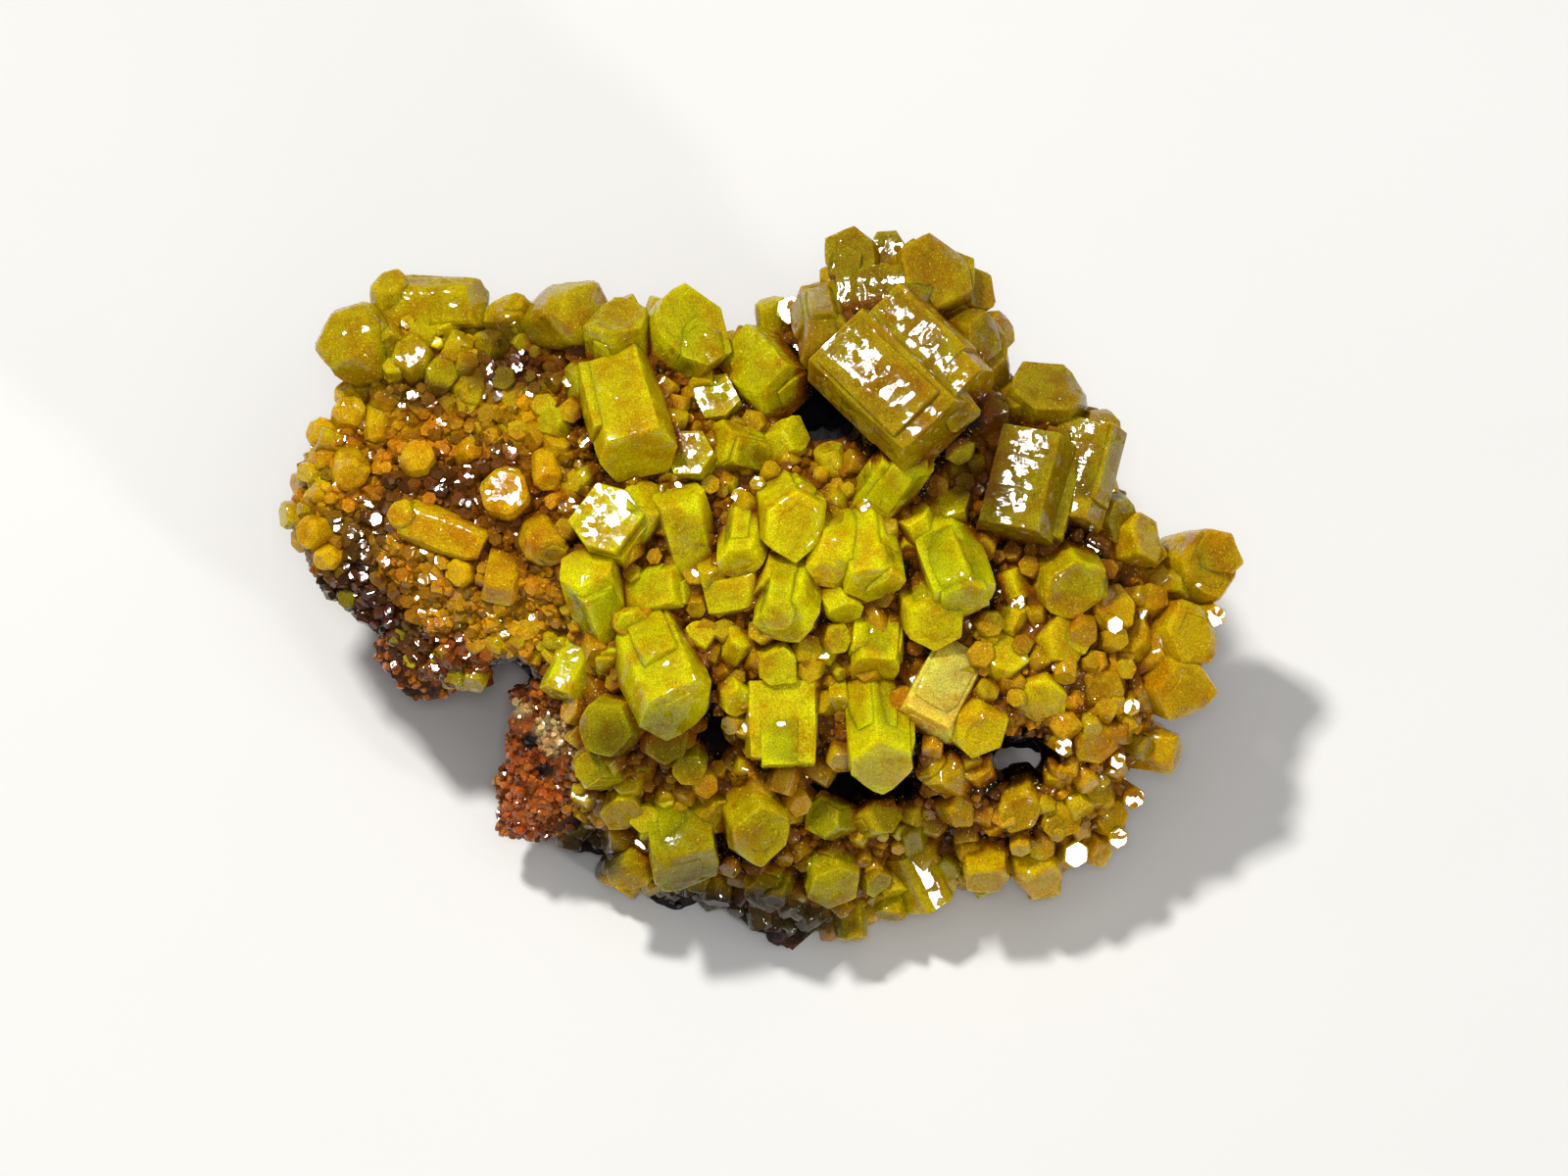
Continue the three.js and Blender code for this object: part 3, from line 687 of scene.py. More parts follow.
def remeshed(obj, voxel):
    """Points, normals and faces of the object's surface, rebuilt from even small squares."""
    modifier = obj.modifiers.new("remesh", "REMESH")
    modifier.mode = "VOXEL"
    modifier.voxel_size = voxel * MM
    shown = obj.evaluated_get(bpy.context.evaluated_depsgraph_get())
    mesh = shown.to_mesh()
    points = values_of(mesh.vertices, "co")
    normals = values_of(mesh.vertices, "normal")
    sizes = values_of(mesh.polygons, "loop_total", np.int32)
    corners = values_of(mesh.loops, "vertex_index", np.int32)
    starts = np.cumsum(sizes) - sizes
    faces = [corners[starts[sizes == size][:, None] + np.arange(size)] for size in (3, 4)]
    shown.to_mesh_clear()
    bpy.data.objects.remove(obj)
    return to_face(points), normals @ TILT, faces


def ellipsoid(x, y, below, radius, height):
    """A lumpy oval that cuts one pocket of the face."""
    columns, rings = 28, 16
    polar = np.linspace(0, math.pi, rings + 1)[1:-1]
    around = np.linspace(0, 2 * math.pi, columns, endpoint=False)
    ring = np.column_stack([np.cos(around), np.sin(around)])
    shell = np.concatenate([
        np.column_stack([np.sin(p) * ring, np.full(columns, np.cos(p))]) for p in polar[::-1]
    ])
    shell = np.vstack([shell, [0, 0, 1], [0, 0, -1]])
    swell = 1 + 0.12 * noise(shell * 2 + [x, y, 0], 0.9, 3)
    points = shell * swell[:, None] * [radius, radius, height] + [x, y, face_height(x, y) - below]
    return points, closed_faces(columns, len(polar), len(points))


def crust_shell():
    """The crust with no crystals on it: a closed shell with its pockets and hole cut out."""
    sectors = 200
    angle = np.linspace(0, 2 * math.pi, sectors, endpoint=False)
    reach = rim_radius(angle)
    rows = [(out, 0.0) for out in np.linspace(0.02, 0.97, 40)]
    rows += [(0.99, 0.15), (1.0, 0.5), (1.0, 1.1), (0.985, 0.6 * CRUST_WRAP), (0.93, CRUST_WRAP)]
    rows += [(out, CRUST_WRAP) for out in np.linspace(0.86, 0.02, 20)]
    points = []
    for out, below in rows:
        x = MIDDLE[0] + out * reach * np.cos(angle)
        y = MIDDLE[1] + out * reach * np.sin(angle)
        points.append(np.column_stack([x, y, face_height(x, y) - below]))
    points = np.concatenate(points)
    top = [MIDDLE[0], MIDDLE[1], face_height(*MIDDLE)]
    bottom = [MIDDLE[0], MIDDLE[1], face_height(*MIDDLE) - CRUST_WRAP]
    points = np.vstack([points, top, bottom])
    count = len(points)
    faces = [
        ring_faces(sectors, len(rows))[:, ::-1],
        fan_faces(sectors, 0, count - 2),
        fan_faces(sectors, (len(rows) - 1) * sectors, count - 1, flip=True),
    ]
    shell = mesh_object("shell", points, faces)
    cutters = []
    for row in POCKETS:
        cutter = mesh_object("cutter", *ellipsoid(*row))
        cutters.append(cutter)
        modifier = shell.modifiers.new("cut", "BOOLEAN")
        modifier.operation = "DIFFERENCE"
        modifier.solver = "EXACT"
        modifier.object = cutter
    surface = remeshed(shell, CRUST_VOXEL)
    for cutter in cutters:
        bpy.data.objects.remove(cutter)
    return surface


# ---- Depth below the crystals' tops ----
# A grid of square cells over the face.
CELL = 0.25
GRID_LOW = np.array([-34.0, -27.0])
GRID_SIZE = (272, 216)
# How much lower the tops are taken to be beyond the rim.
DROP_BEYOND = 5.0


def cell_of(points):
    cells = ((points[:, :2] - GRID_LOW) / CELL).astype(int)
    return tuple(np.clip(cells, 0, np.array(GRID_SIZE) - 1).T)


def spread_out(grid, reach, combine):
    """Combines each cell with those up to reach cells away along both axes."""
    for axis in (0, 1):
        grid = combine([np.roll(grid, step, axis) for step in range(-reach, reach + 1)], axis=0)
    return grid


def canopy_over(points):
    """A smoothed map of the height of the crystals' tops over the face."""
    across, up = np.meshgrid(*(low + CELL * (np.arange(size) + 0.5)
                               for low, size in zip(GRID_LOW, GRID_SIZE)), indexing="ij")
    tops = face_height(across, up) - DROP_BEYOND * (rim_share(across, up) > 1)
    np.maximum.at(tops, cell_of(points), points[:, 2])
    tops = spread_out(tops, 2, np.max)
    for _ in range(3):
        tops = spread_out(tops, 3, np.mean)
    return tops


# ---- Zones of the face ----
# Ovals, as (x, y, half width, half height, softness of the edge) and their strength, if not 1.
DRUSE_LOBE = (-21, 4.0, 10, 10, 0.5)
LOWER_SHELF = (18.5, -8, 9, 10, 0.5)
FOOT = ((-14.7, -10.0, 3.4, 6.0, 0.25), (-16.6, -14.6, 3.4, 3.0, 0.25))
CREAM_PATCHES = ((-13.4, -8.9, 1.9, 1.7, 0.4), (-15.9, -7.2, 0.9, 0.8, 0.5))
# Gaps and pockets between the crystals, where the crust is painted nearly black as shade and little
# grows.
GAPS = (
    (3.8, 12.0, 3.6, 3.6, 0.4), (6.0, -11.7, 4.7, 2.1, 0.4), (-3.4, -8.6, 2.0, 2.2, 0.6),
    (-16.4, -4.9, 2.2, 1.6, 0.4), (15.8, -10.3, 3.0, 2.0, 0.3), (-15.2, -9.4, 0.8, 0.9, 0.5),
    (-14.2, -11.2, 1.2, 0.7, 0.5),
)
# Darker patches: painted shade below the middle and between the right-hand clusters; the olive crystal
# at the right is its own duller colour; the rest are simply darker.
DULL = (
    (-7.5, -9.4, 5.5, 3.0, 0.6), (13.6, 6.4, 2.8, 3.6, 0.6), (-2.5, -18.6, 6.0, 2.0, 0.6),
    (19.0, 1.2, 3.2, 2.8, 0.5, 0.5), (27.4, 1.8, 3.4, 3.0, 0.5, 0.4),
    (10.5, -15.5, 3.0, 3.0, 0.6, 0.5),
)
# Painted shade: brown in the hollows under and between the crystals.
SHADED_HOLLOWS = (
    (-16.0, 14.4, 5.0, 1.9, 0.5), (-22.8, 12.8, 3.6, 1.3, 0.5), (-17.2, 16.8, 1.7, 1.7, 0.6),
    (14.7, 10.4, 1.6, 3.4, 0.5), (13.2, 7.4, 2.6, 2.0, 0.5), (22.4, 0.9, 1.5, 1.3, 0.5),
)
GOLDEN_SIDE = (19.0, -7.5, 10.5, 11.0, 0.4)
GOLDEN_SHELF = (18.5, -10, 9, 10, 0.5, 0.6)
LEMON_CORNER = (-22.5, 17, 7, 4.5, 0.4, 0.9)
SHADED_SPOTS = ((-21, 4, 10, 11, 0.4, 0.85), (19, -8, 9, 10, 0.5, 0.7))
BRIGHT_RUST = (-15.6, -13.2, 3.2, 2.2, 0.6, 0.7)
RUSTY_ROCK = (-15.0, -10, 3.4, 6.0, 0.3)
# Where the painted shade counts depth for more, since the crystals there are low.
LOW_GROWTH = ((18.5, -9, 9, 10, 0.5, 1.2), (-21, 4.5, 10, 12, 0.4, 0.4))
DARK_EDGE = ((-3.2, -21.0, 9.5, 2.9, 0.35, 0.92), (-11.8, -16.6, 3.0, 2.4, 0.4, 0.92))
DARK_ROCK = ((-3.0, -20.0, 10.5, 3.6, 0.4, 0.92), (-11.6, -16.0, 2.6, 2.4, 0.4, 0.9))
DARK_GRAINS = (-3.0, -20.0, 11, 4.0, 0.4, 0.9)
# Where few small crystals grow, and where the druse and the grains are thickest.
BARE_HOLLOW = (-20.0, 15.0, 8.0, 4.0, 0.4, 0.6)
THICK_DRUSE = (-21.5, 4.5, 11.0, 14.0, 0.25)
THICK_GRAINS = (-15.0, -10, 3.6, 6.2, 0.2)

# Stains of the crust, painted shade in the brown hollow at the upper left, and darker brown towards
# the lower left, in the order they are laid on, as (colour, oval).
LEFT_STAINS_AND_SHADE = (
    (AMBER * 0.65 + GOLD * 0.35, (-20.5, 5, 10.5, 10, 0.6, 0.8)),
    (RUST * 1.3, (-19.5, 6.5, 6, 5.0, 0.8, 0.45)),
    (RUST * 0.9, (-20.5, -4.8, 6.0, 3.2, 0.5, 0.9)),
    (BROWN * 0.4, (-28.5, -2.5, 7.5, 6.5, 0.5, 0.95)),
    (BROWN, (-16.0, 14.6, 4.8, 1.8, 0.5, 0.85)),
    (BROWN * 0.6, (-21.0, -7.0, 7.0, 2.6, 0.6, 0.6)),
)


def zone(points, x, y, wide, high, soft, strength=1.0):
    """The strength in the middle of an oval, falling to 0 outside it."""
    away = np.hypot((points[:, 0] - x) / wide, (points[:, 1] - y) / high)
    away = away + 0.12 * noise(points, 2.2, 21)
    return strength * (1 - smooth(away, 1 - soft, 1))


def zones(points, ovals):
    """The strongest of several ovals at each point."""
    return np.maximum.reduce([zone(points, *oval) for oval in ovals])


def mixed(base, colour, share):
    return base + (colour - base) * np.asarray(share)[:, None]


def crust_colour(points):
    """Colour of the crust and its small crystals, with painted shade in its gaps, hollows and dark
    spots.
    """
    base = mixed(np.tile(GOLD * 0.9, (len(points), 1)), AMBER, 0.4 + 0.5 * noise(points, 1.7, 31))
    for stain, oval in LEFT_STAINS_AND_SHADE:
        base = mixed(base, stain, zone(points, *oval))
    foot = zones(points, FOOT)
    base = mixed(base, RUST, foot)
    base = mixed(base, RUST * 0.6 + AMBER * 0.5, 0.6 * foot * smooth(noise(points, 0.8, 59), 0.0, 0.5))
    base = mixed(base, BROWN * 0.35, 0.8 * foot * smooth(noise(points, 1.5, 53), 0.1, 0.45))
    base = mixed(base, RUST * 1.2 + AMBER * 0.25, zone(points, *BRIGHT_RUST))
    base = mixed(base, CREAM, zones(points, CREAM_PATCHES))
    base = mixed(base, GOLD, zone(points, *GOLDEN_SHELF))
    # Painted shade: dark spots stand for the shade in the crevices of the left lobe and the lower shelf.
    spots = smooth(noise(points, 2.4, 47), 0.1, 0.5)
    base = mixed(base, BROWN * 0.8, zones(points, SHADED_SPOTS) * spots)
    base = mixed(base, GOLD * 0.4 + LEMON * 0.5, zone(points, *LEMON_CORNER))
    # Painted shade: the gaps and pockets are painted nearly black.
    return mixed(base, NEAR_BLACK, zones(points, GAPS))


def painted_shade_and_tint(tone, points):
    """The tone with darker patches, partly painted shade, painted shade in hollows, a golden side and a
    dark lower edge.
    """
    tone = tone * (1 - zones(points, DULL)[:, None] * [0.5, 0.5, 0.4])
    tone = mixed(tone, BROWN, 0.72 * zones(points, SHADED_HOLLOWS))
    tone = tone * (1 - zone(points, *GOLDEN_SIDE)[:, None] * [0.06, 0.20, 0.0])
    return mixed(tone, NEAR_BLACK * 1.5, zones(points, DARK_EDGE))


def large_colour(base):
    """A rule that gives each large crystal its own colour near the base."""
    def pick(rng):
        shade = base * (1 + rng.uniform(-0.10, 0.10))
        shade = shade + (GOLD - shade) * rng.uniform(0, 0.35)
        return shade + (OLIVE - shade) * rng.uniform(0, 0.25)
    return pick


# ---- Materials ----
class Nodes:
    """Short ways to add and join the nodes of one material."""

    def __init__(self, name):
        self.material = bpy.data.materials.new(name)
        self.material.use_nodes = True
        self.tree = self.material.node_tree
        self.shader = self.tree.nodes["Principled BSDF"]

    def add(self, kind, sockets=None, **settings):
        node = self.tree.nodes.new("ShaderNode" + kind)
        for key, value in settings.items():
            setattr(node, key, value)
        for key, value in (sockets or {}).items():
            self.feed(node.inputs[key], value)
        return node

    def feed(self, socket, value):
        if isinstance(value, bpy.types.NodeSocket):
            self.tree.links.new(value, socket)
        else:
            socket.default_value = value

    def shade(self, sockets):
        """Sets the shader's own sockets to plain values, or links a node's output to them."""
        for key, value in sockets.items():
            self.feed(self.shader.inputs[key], value)

    def math(self, operation, a, b=0.0, c=0.0):
        return self.add("Math", {0: a, 1: b, 2: c}, operation=operation).outputs[0]

    def vector(self, operation, a, b):
        node = self.add("VectorMath", {0: a, 1: b}, operation=operation)
        return node.outputs["Value"] if operation == "DOT_PRODUCT" else node.outputs[0]

    def scaled(self, value, size):
        return self.vector("MULTIPLY", value, size)

    def noise(self, where, scale, detail=3.0, rough=0.55):
        sockets = {"Vector": where, "Scale": scale, "Detail": detail, "Roughness": rough}
        return self.add("TexNoise", sockets).outputs["Fac"]

    def remap(self, value, low, high, to_low=0.0, to_high=1.0):
        node = self.add("MapRange", {0: value, 1: low, 2: high, 3: to_low, 4: to_high},
                        interpolation_type="SMOOTHSTEP")
        return node.outputs[0]

    def mix(self, share, a, b, blend="MIX"):
        node = self.add("Mix", data_type="RGBA", blend_type=blend)
        self.feed(node.inputs["Factor"], share)
        self.feed(node.inputs[6], a)
        self.feed(node.inputs[7], b)
        return node.outputs[2]

    def tinted(self, base, share, factors):
        """The base colour, multiplied by the factors as far as the share says."""
        return self.mix(share, base, self.mix(1.0, base, colour(factors), "MULTIPLY"))

    def attribute(self, name, output="Vector"):
        node = self.add("Attribute", attribute_name=name, attribute_type="GEOMETRY")
        return node.outputs[output]

    def place(self):
        """Position on the object, in millimetres."""
        return self.scaled(self.add("TexCoord").outputs["Object"], (1000, 1000, 1000))

    def tilted_cells(self, where, size):
        """Heights of small flat cells, each tilted its own way, and a random share for each."""
        sockets = {"Vector": where, "Scale": 1 / size, "Randomness": 1.0}
        cells = self.add("TexVoronoi", sockets, feature="F1")
        lean = self.vector("SUBTRACT", cells.outputs["Color"], (0.5, 0.5, 0.5))
        across = self.vector("SUBTRACT", where, cells.outputs["Position"])
        share = self.add("SeparateColor", {"Color": cells.outputs["Color"]}).outputs["Red"]
        return self.vector("DOT_PRODUCT", lean, self.scaled(across, (1 / size,) * 3)), share

    def bump(self, height, distance, strength=1.0, under=None):
        node = self.add("Bump", {"Height": height, "Distance": distance, "Strength": strength})
        if under is not None:
            self.feed(node.inputs["Normal"], under)
        return node.outputs["Normal"]


def colour(values):
    return (*[float(v) for v in values], 1.0)


def crystal_material(name, facet_size, level, glow, crevice_shade_colour):
    """Cloudy mineral with tilted patches on its faces, which painted shade turns to the crevice shade
    colour deep between the crystals, then nearly black.

    level is how strongly it mirrors, and glow how much of its light wanders inside it.
    """
    n = Nodes(name)
    tone = n.attribute("tone", "Color")
    local = n.attribute("local")
    deep = n.attribute("deep", "Fac")
    cloud = n.noise(local, 0.6, 3.0, 0.65)
    grain = n.noise(local, 5.0, 2.0, 0.6)
    base = n.tinted(tone, n.remap(cloud, 0.38, 0.7, 0.0, 0.5), [1.15, 1.20, 1.0])
    # Painted highlight: the crystals' edges are lightened, as if light came through them.
    edge = n.math("MULTIPLY", n.attribute("edge", "Fac"), n.remap(cloud, 0.3, 0.6, 0.35, 0.9))
    base = n.tinted(base, edge, [1.22, 1.32, 1.0])
    stain = n.noise(n.place(), 0.45, 3.0, 0.6)
    base = n.tinted(base, n.remap(stain, 0.42, 0.65, 0.0, 0.9), [0.90, 0.64, 0.6])
    base = n.tinted(base, n.remap(cloud, 0.5, 0.25, 0.0, 0.7), [0.78, 0.60, 0.6])
    # Painted shade: deep between the crystals the colour turns to the crevice shade colour, then nearly
    # black.
    base = n.mix(n.remap(deep, 0.0, 0.5), base, colour(crevice_shade_colour))
    base = n.mix(n.remap(deep, 0.5, 0.95), base, colour(np.array(crevice_shade_colour) * 0.07))
    # Painted glints: small pale yellow flecks on the faces, kept off the dark crystals.
    painted_sparkle = n.noise(n.scaled(local, (1.0, 1.0, 0.5)), 7.0, 1.0)
    strong = n.remap(n.add("SeparateColor", {"Color": tone}).outputs["Green"], 0.0, 0.3)
    painted_sparkle = n.math("MULTIPLY", n.remap(painted_sparkle, 0.66, 0.76, 0.0, 0.75), strong)
    base = n.mix(painted_sparkle, base, colour([0.85, 0.76, 0.08]))
    speckle = n.noise(local, 9.0, 2.0, 0.75)
    base = n.mix(1.0, base, n.remap(speckle, 0.3, 0.7, 0.62, 1.26), "MULTIPLY")
    n.shader.subsurface_method = "RANDOM_WALK"
    n.shade({
        "Base Color": base, "Roughness": n.remap(grain, 0.35, 0.65, 0.03, 0.10), "IOR": 1.5,
        "Specular IOR Level": level, "Subsurface Weight": glow,
        "Subsurface Radius": (1.0, 0.75, 0.06), "Subsurface Scale": 1.5 * MM,
    })
    tilts, _ = n.tilted_cells(n.scaled(local, (1.0, 1.0, 1.7)), facet_size)
    sparks, chance = n.tilted_cells(local, 0.42)
    sparks = n.math("MULTIPLY", sparks, n.math("GREATER_THAN", chance, 0.8))
    lines = n.noise(n.scaled(local, (0.4, 0.4, 5.0)), 1.0, 2.0, 0.7)
    bend = n.noise(local, 0.35, 0.0)
    height = n.math("MULTIPLY_ADD", lines, 0.008, n.math("MULTIPLY", tilts, 0.07 * facet_size))
    height = n.math("MULTIPLY_ADD", grain, 0.004, height)
    height = n.math("MULTIPLY_ADD", sparks, 0.26, height)
    height = n.math("MULTIPLY_ADD", bend, 0.12, height)
    height = n.math("MULTIPLY", height, n.remap(n.attribute("calm", "Fac"), -1.0, 1.0, 1.85, 0.15))
    n.shade({"Normal": n.bump(height, MM)})
    return n.material


def rock_material(name):
    """Rough rock, rust over nearly black, with grains that catch a little light; near black at its lower
    edge and, as painted shade, in the gaps.
    """
    n = Nodes(name)
    tone = n.attribute("tone", "Color")
    place = n.place()
    broad = n.noise(place, 0.35, 5.0, 0.6)
    patch = n.noise(place, 1.1, 6.0, 0.65)
    speck = n.noise(place, 5.5, 3.0, 0.6)
    base = n.tinted(tone, n.remap(broad, 0.42, 0.62), [0.35, 0.32, 0.36])
    base = n.mix(n.remap(patch, 0.56, 0.7, 0.0, 0.6), base, colour([0.36, 0.135, 0.03]))
    base = n.mix(n.remap(speck, 0.62, 0.72, 0.0, 0.5), base, colour([0.5, 0.33, 0.12]))
    # Nearly black where deep says: painted shade in the gaps, and the darker lower edge.
    base = n.mix(n.attribute("deep", "Fac"), base, colour(NEAR_BLACK * 1.3))
    rough = n.remap(patch, 0.3, 0.7, 0.95, 0.55)
    n.shade({"Base Color": base, "Roughness": rough, "IOR": 1.6, "Specular IOR Level": 0.2})
    cells = n.add("TexVoronoi", {"Vector": place, "Scale": 2.2}, feature="F1")
    normal = n.bump(cells.outputs["Distance"], 0.22 * MM, 0.7)
    normal = n.bump(patch, 0.35 * MM, 0.8, normal)
    normal = n.bump(speck, 0.10 * MM, 0.9, normal)
    n.shade({"Normal": normal})
    return n.material


def floor_material():
    n = Nodes("pale_floor")
    base = n.mix(n.noise(n.place(), 0.02), colour([0.74, 0.73, 0.71]), colour([0.78, 0.77, 0.75]))
    n.shade({"Base Color": base, "Roughness": 0.8})
    return n.material


crystal_looks = crystal_material("pyromorphite", 0.6, 0.32, 0.55, [0.24, 0.068, 0.002])
amber_looks = crystal_material("pyromorphite_amber", 1.0, 0.5, 0.55, [0.18, 0.050, 0.002])
druse_looks = crystal_material("pyromorphite_druse", 0.4, 0.5, 0.0, [0.19, 0.058, 0.002])
rock_looks = rock_material("gossan")

# ---- Build the specimen ----
rng = np.random.default_rng(11)

upper, lower, upper_right, right = Pile(), Pile(), Pile(), Pile()

# The large crystals, as (pile, rows, colour, how soft their shapes are).
LARGE = (
    (upper, TOP_MIDDLE, LEMON * 0.68, 0.0),
    (upper, CENTRE + LOWER_FACE, LEMON * 0.92, 0.0),
    (upper, PALE_PLATE, LEMON * 0.9 + CREAM * 0.5, 0.0),
    (upper, UPPER_LEFT, GOLD * 0.29 + LEMON * 0.28, 0.65),
    (lower, RIGHT_RIM, GOLD * 0.45 + LEMON * 0.15 + HONEY * 0.25, 0.3),
    (lower, LOWER_BAND, LEMON * 0.24 + OLIVE * 0.43, 0.1),
    (lower, LOWER_RIGHT, GOLD * 0.45 + LEMON * 0.2 + HONEY * 0.2, 0.45),
    (lower, LEFT_DRUSE, GOLD * 0.8 + AMBER * 0.2, 0.9),
    (upper_right, UPPER_RIGHT_CLUSTER, HONEY * 0.30 + OLIVE * 0.26, 0.0),
    (right, RIGHT_CLUSTER, HONEY * 0.12 + OLIVE * 0.46, 0.0),
)
for pile, rows, base, soft in LARGE:
    add_large(pile, rows, rng, large_colour(base), soft)

CANOPY = canopy_over(np.concatenate(upper.points + lower.points + upper_right.points + right.points))


def below_canopy(points):
    return CANOPY[cell_of(points)] - points[:, 2]


def open_rim(points):
    """1 over the face, falling where the crust turns down at its rim and light comes from the side, so
    the painted shade fades there.
    """
    return 1 - 0.8 * smooth(rim_share(points[:, 0], points[:, 1]), 0.88, 1.02)


def sunk(points):
    """How deep a place lies between the crystals, counted for more where the crystals are low."""
    return below_canopy(points) * (1 + zones(points, LOW_GROWTH))


def large_shade(points):
    """How far painted shade darkens the crevices between the large crystals, from 0 to 1."""
    return 0.94 * smooth(sunk(points), 0.4, 3.1) * open_rim(points)


def small_shade(points):
    """The same painted shade, for the crust and the crystals that grow low down on it."""
    return 0.98 * smooth(sunk(points), 0.0, 2.9) * open_rim(points)


upper.make("crust_crystals_upper", crystal_looks, "pyromorphite", large_shade)
lower.make("crust_crystals_lower", crystal_looks, "pyromorphite", large_shade)
cluster = upper_right.make("upper_right_crystals", amber_looks, "pyromorphite_amber", large_shade)
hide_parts("upper_right_cluster")
cluster = right.make("right_crystals", amber_looks, "pyromorphite_olive", large_shade)
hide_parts("right_cluster")

# The crust: lumps and knobs all over it, raised between the large crystals that it carries.
points, normals, faces = crust_shell()
lumps = 1 - np.minimum(1, nearest_seed(points, 1.1, 5))
knobs = 1 - np.minimum(1, nearest_seed(points, 0.55, 9))
growth = 0.75 * lumps + 0.30 * knobs + 0.25 * noise(points, 2.6, 2) - 0.35
growth = growth * (1 - 0.8 * zones(points, GAPS))
share = 0.42 + 0.45 * zone(points, *LOWER_SHELF)
filled = share * np.clip(below_canopy(points) - 0.6, 0, 3.5) * smooth(normals[:, 2], 0.2, 0.8)
points = points + normals * growth[:, None]
points[:, 2] += filled * (1 - zones(points, GAPS))
shell = make_piece(
    "crust", points, faces, druse_looks,
    {"tone": painted_shade_and_tint(crust_colour(points), points), "local": points, "deep": small_shade(points)},
)
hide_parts("crystal_crust")
shell_surface = points, faces


def surface_spots(points, faces, count, rng):
    """Random places on a surface, with its normal there."""
    quads = np.concatenate([
        block if block.shape[1] == 4 else block[:, [0, 1, 2, 2]] for block in faces
    ])
    a, b, c, d = (points[quads[:, k]] for k in range(4))
    normal = np.cross(c - a, d - b)
    area = np.linalg.norm(normal, axis=1)
    chosen = rng.choice(len(quads), count, p=area / area.sum())
    u, v = rng.uniform(0, 1, (2, count, 1))
    low = a[chosen] + (b[chosen] - a[chosen]) * u
    high = d[chosen] + (c[chosen] - d[chosen]) * u
    return low + (high - low) * v, unit(normal[chosen])


def axes_of(rows):
    """Middle, direction, length and width of each large crystal."""
    found = []
    for raw in rows:
        row = padded_row(raw)
        middle, spin = stand_crystal(row, np.zeros((1, 3)))
        found.append([*middle[0], *spin[:, 2], row[3], row[2]])
    return np.array(found)


AXES = np.concatenate([axes_of(rows) for _, rows, _, _ in LARGE])


def clear_of_large(spots, share):
    """True where a place is outside every large crystal."""
    clear = np.ones(len(spots), bool)
    for x, y, z, dx, dy, dz, length, across in AXES:
        away = spots - [x, y, z]
        along = away @ [dx, dy, dz]
        off = np.linalg.norm(away - along[:, None] * [dx, dy, dz], axis=1)
        clear &= (off > share * across) | (np.abs(along) > length / 2 + 0.1)
    return clear


def spaced(spots, sizes):
    """Picks places in turn, leaving out those too near one already picked."""
    kept, grid = [], {}
    for i, (spot, size) in enumerate(zip(spots, sizes)):
        cell = tuple(np.floor(spot / 2.0).astype(int))
        around = (grid.get((cell[0] + a, cell[1] + b, cell[2] + c), ())
                  for a in (-1, 0, 1) for b in (-1, 0, 1) for c in (-1, 0, 1))
        near = [j for block in around for j in block]
        if all(np.linalg.norm(spots[j] - spot) > 0.42 * (sizes[j] + size) for j in near):
            kept.append(i)
            grid.setdefault(cell, []).append(i)
    return np.array(kept)


def near_face(spots, depth):
    """True where a place is less than the depth below the dome of the face."""
    return spots[:, 2] > face_height(spots[:, 0], spots[:, 1]) - depth


def above_floor(spots, height):
    return to_world(spots)[:, 2] > height * MM


def thinned(keep, *arrays):
    """The chosen rows of each array."""
    return [array[keep] for array in arrays]


small_forms = [simple_form(rng, 2) for _ in range(6)]
tiny_forms = [simple_form(rng, 1) for _ in range(6)]

# Small crystals between the large ones, clear of the foot and of the hole.
spots, slopes = surface_spots(*shell_surface, SMALL_TRIES, rng)
left = zone(spots, *DRUSE_LOBE)
keep = near_face(spots, 2.6) & clear_of_large(spots, 0.36) & above_floor(spots, 1.6)
keep &= (zones(spots, GAPS) < 0.3) & (zones(spots, FOOT) < 0.5)
keep &= rng.random(len(spots)) > zone(spots, *BARE_HOLLOW)
keep &= np.linalg.norm(spots[:, :2] - HOLE_AT, axis=1) > HOLE_CLEAR
keep &= rng.random(len(spots)) > 0.93 * left + 0.7 * zone(spots, *LOWER_SHELF)
spots, slopes, left = thinned(keep, spots, slopes, left)
sizes = rng.uniform(*SMALL_SIZES, len(spots)) * (1 - 0.55 * left)
spots, slopes, sizes, left = thinned(spaced(spots, sizes), spots, slopes, sizes, left)
tint = crust_colour(spots) * rng.uniform(0.85, 1.2, (len(spots), 1))
tint = mixed(tint, LEMON * 0.8, rng.uniform(0.1, 0.8, len(spots)) * (1 - left))
small = Pile()
scatter(small, small_forms, spots - slopes * 0.2 * sizes[:, None], slopes, sizes,
        sizes * rng.uniform(1.0, 1.6, len(spots)), 0.45, tint, rng)
small.make("small_crystals", druse_looks, "pyromorphite", small_shade)

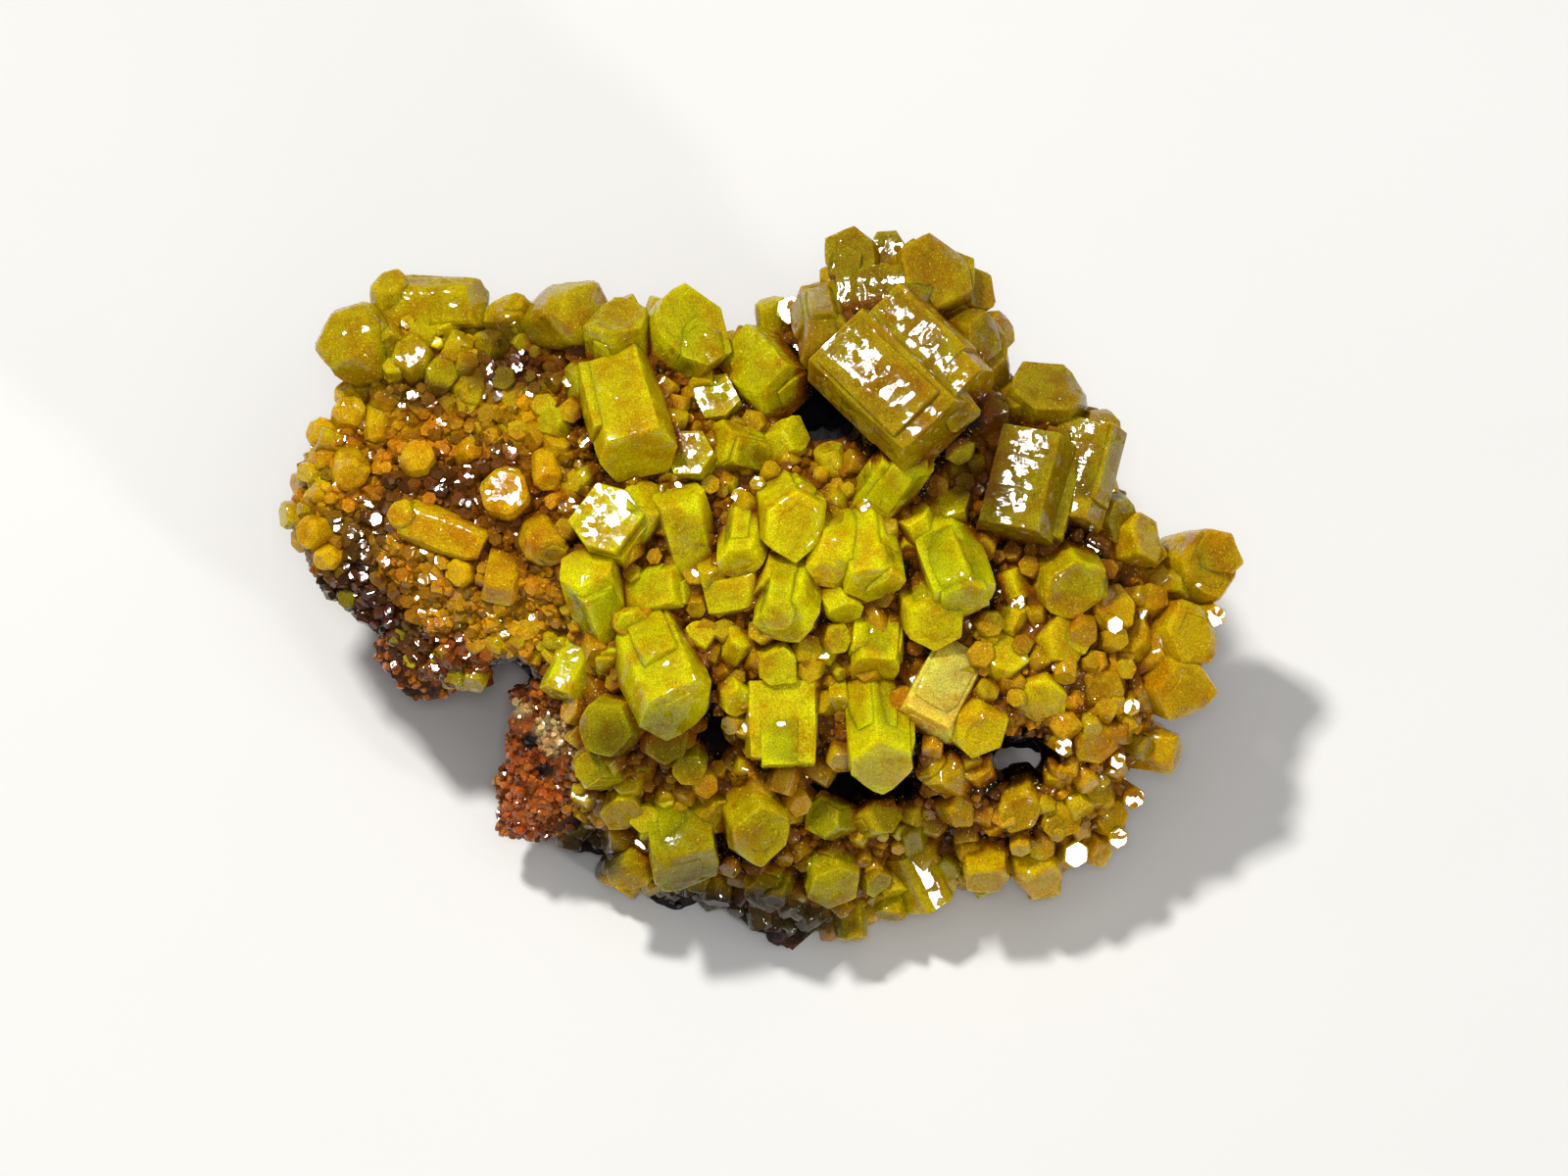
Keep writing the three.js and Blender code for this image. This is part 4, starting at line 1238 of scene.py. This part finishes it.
# Sugary druse of tiny crystals over the crust, thickest on the left lobe.
spots, slopes = surface_spots(*shell_surface, DRUSE_TRIES, rng)
left = zone(spots, *THICK_DRUSE)
foot = zones(spots, FOOT)
keep = near_face(spots, 3.4) & clear_of_large(spots, 0.44) & above_floor(spots, 0.8)
keep &= zones(spots, GAPS) < 0.6
keep &= rng.random(len(spots)) < 0.16 + 0.84 * np.maximum(left, foot)
spots, slopes, left, foot = thinned(keep, spots, slopes, left, foot)
sizes = rng.uniform(*DRUSE_SIZES, len(spots)) * (1 + 0.25 * left - 0.35 * foot)
tint = crust_colour(spots) * rng.uniform(0.35, 1.45, (len(spots), 1))
for name, chosen, glints in (
    ("left_druse", left > 0.5, LEFT_GLINT_SHARE), ("other_druse", left <= 0.5, GLINT_SHARE),
):
    druse = Pile()
    scatter(druse, tiny_forms, spots[chosen], slopes[chosen], sizes[chosen],
            sizes[chosen] * rng.uniform(1.0, 1.6, np.count_nonzero(chosen)), 0.7, tint[chosen], rng,
            glints)
    druse.make(name, druse_looks, "pyromorphite", small_shade)

# ---- The rock ----
# Lumps of the rock, as (height, size, seed of the noise).
ROCK_LUMPS = ((0.5, 3.0, 44), (0.30, 1.3, 45), (0.14, 0.6, 46))

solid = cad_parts["gossan_rock"]
rock_copy = bpy.data.objects.new("rock_copy", solid.data.copy())
bpy.context.scene.collection.objects.link(rock_copy)
points, normals, faces = remeshed(rock_copy, ROCK_VOXEL)
# The sawn base stays flat.
free = smooth((points @ TILT.T + FACE_AT)[:, 2], 0.15, 1.6)
pits = 1 - smooth(nearest_seed(points, 2.6, 41), 0.1, 0.45)
small_pits = 1 - smooth(nearest_seed(points, 1.0, 43), 0.1, 0.5)
ledges = 1 - 2 * np.abs(noise(points * [1, 1, 1.7], 5.5, 48))
relief = 0.9 * ledges
for height, size, seed in ROCK_LUMPS:
    relief = relief + height * noise(points, size, seed)
push = relief - 0.5 - 0.9 * pits - 0.30 * small_pits
points = points + normals * (free * push)[:, None]
tone = mixed(np.tile(BROWN, (len(points), 1)), RUST * 0.8, smooth(noise(points, 3.0, 47), -0.1, 0.6))
tone = mixed(tone, RUST * 1.15, zone(points, *RUSTY_ROCK))
tone = mixed(tone, CREAM, zones(points, CREAM_PATCHES))
# Share that turns nearly black: painted shade in the gaps, and the darker lower edge.
darkened = zones(points, DARK_ROCK + GAPS)
rock = make_piece("rock", points, faces, rock_looks, {"tone": tone, "deep": darkened})
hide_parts("gossan_rock")

# Grains on the parts of the rock that show round the crust.
spots, slopes = surface_spots(points, faces, GRAIN_TRIES, rng)
foot = zone(spots, *THICK_GRAINS)
keep = (slopes[:, 2] > 0.05) & near_face(spots, 5.0) & above_floor(spots, 0.8)
keep &= zones(spots, GAPS) < 0.5
keep &= rng.random(len(spots)) < 0.3 + 0.7 * foot
spots, slopes, foot = thinned(keep, spots, slopes, foot)
tint = mixed(np.tile(RUST, (len(spots), 1)), AMBER, rng.uniform(0, 0.6, len(spots)))
tint = mixed(tint, CREAM, zones(spots, CREAM_PATCHES))
tint = mixed(tint, NEAR_BLACK * 2, zone(spots, *DARK_GRAINS)) * rng.uniform(0.4, 1.4, (len(spots), 1))
sizes = rng.uniform(*GRAIN_SIZES, len(spots)) * (1 - 0.5 * foot)
grains = Pile()
scatter(grains, tiny_forms, spots, slopes, sizes, sizes * rng.uniform(0.8, 1.3, len(spots)), 0.8,
        tint, rng)
grains.make("rock_grains", druse_looks, "gossan", lambda places: np.zeros(len(places)))

# ---- Floor, light and camera ----
bpy.ops.mesh.primitive_plane_add(size=4.0, location=(0, 0, 0))
floor = bpy.context.object
floor.name = "floor"
floor.data.materials.append(floor_material())

AIM = Vector(to_world(AIM_AT[None])[0])
camera = bpy.data.objects.new("camera", bpy.data.cameras.new("camera"))
bpy.context.scene.collection.objects.link(camera)
camera.location = AIM + Vector(TILT[:, 2]) * VIEW_DISTANCE * MM
camera.rotation_euler = (FACE_TILT, 0, 0)
camera.data.lens = camera.data.sensor_width * VIEW_DISTANCE / VIEW_WIDTH
camera.data.clip_start = 0.01
bpy.context.scene.camera = camera


def softbox(name, direction, distance, size, power, mirrored, tint=(1, 1, 1)):
    """A square light that faces the specimen from a direction given in the face frame.

    Distance and size are in metres and power in watts. The crystals mirror it only if mirrored.
    """
    light = bpy.data.objects.new(name, bpy.data.lights.new(name, "AREA"))
    bpy.context.scene.collection.objects.link(light)
    way = Vector(TILT @ unit(np.array(direction, float)))
    light.location = AIM + way * distance
    light.rotation_euler = way.to_track_quat("Z", "Y").to_euler()
    light.data.size = size
    light.data.energy = power
    light.data.color = tint
    light.visible_glossy = mirrored


softbox("key_light", KEY_FROM, LIGHT_DISTANCE * MM, 0.06, 3.1, True, (1.0, 0.99, 0.96))
softbox("side_light", SIDE_FROM, LIGHT_DISTANCE * MM, 0.05, 0.8, True)
softbox("overhead_light", (0.15, 0.2, 1.0), 1.2, 1.0, 3.3, False)
softbox("front_light", (0.0, 0.03, 1.0), 1.0, 0.14, 1.5, False)

world = bpy.data.worlds.new("studio")
bpy.context.scene.world = world
world.use_nodes = True
background = world.node_tree.nodes["Background"]
background.inputs["Color"].default_value = (0.92, 0.95, 1.0, 1)
background.inputs["Strength"].default_value = 0.12
bpy.context.scene.view_settings.view_transform = "Standard"
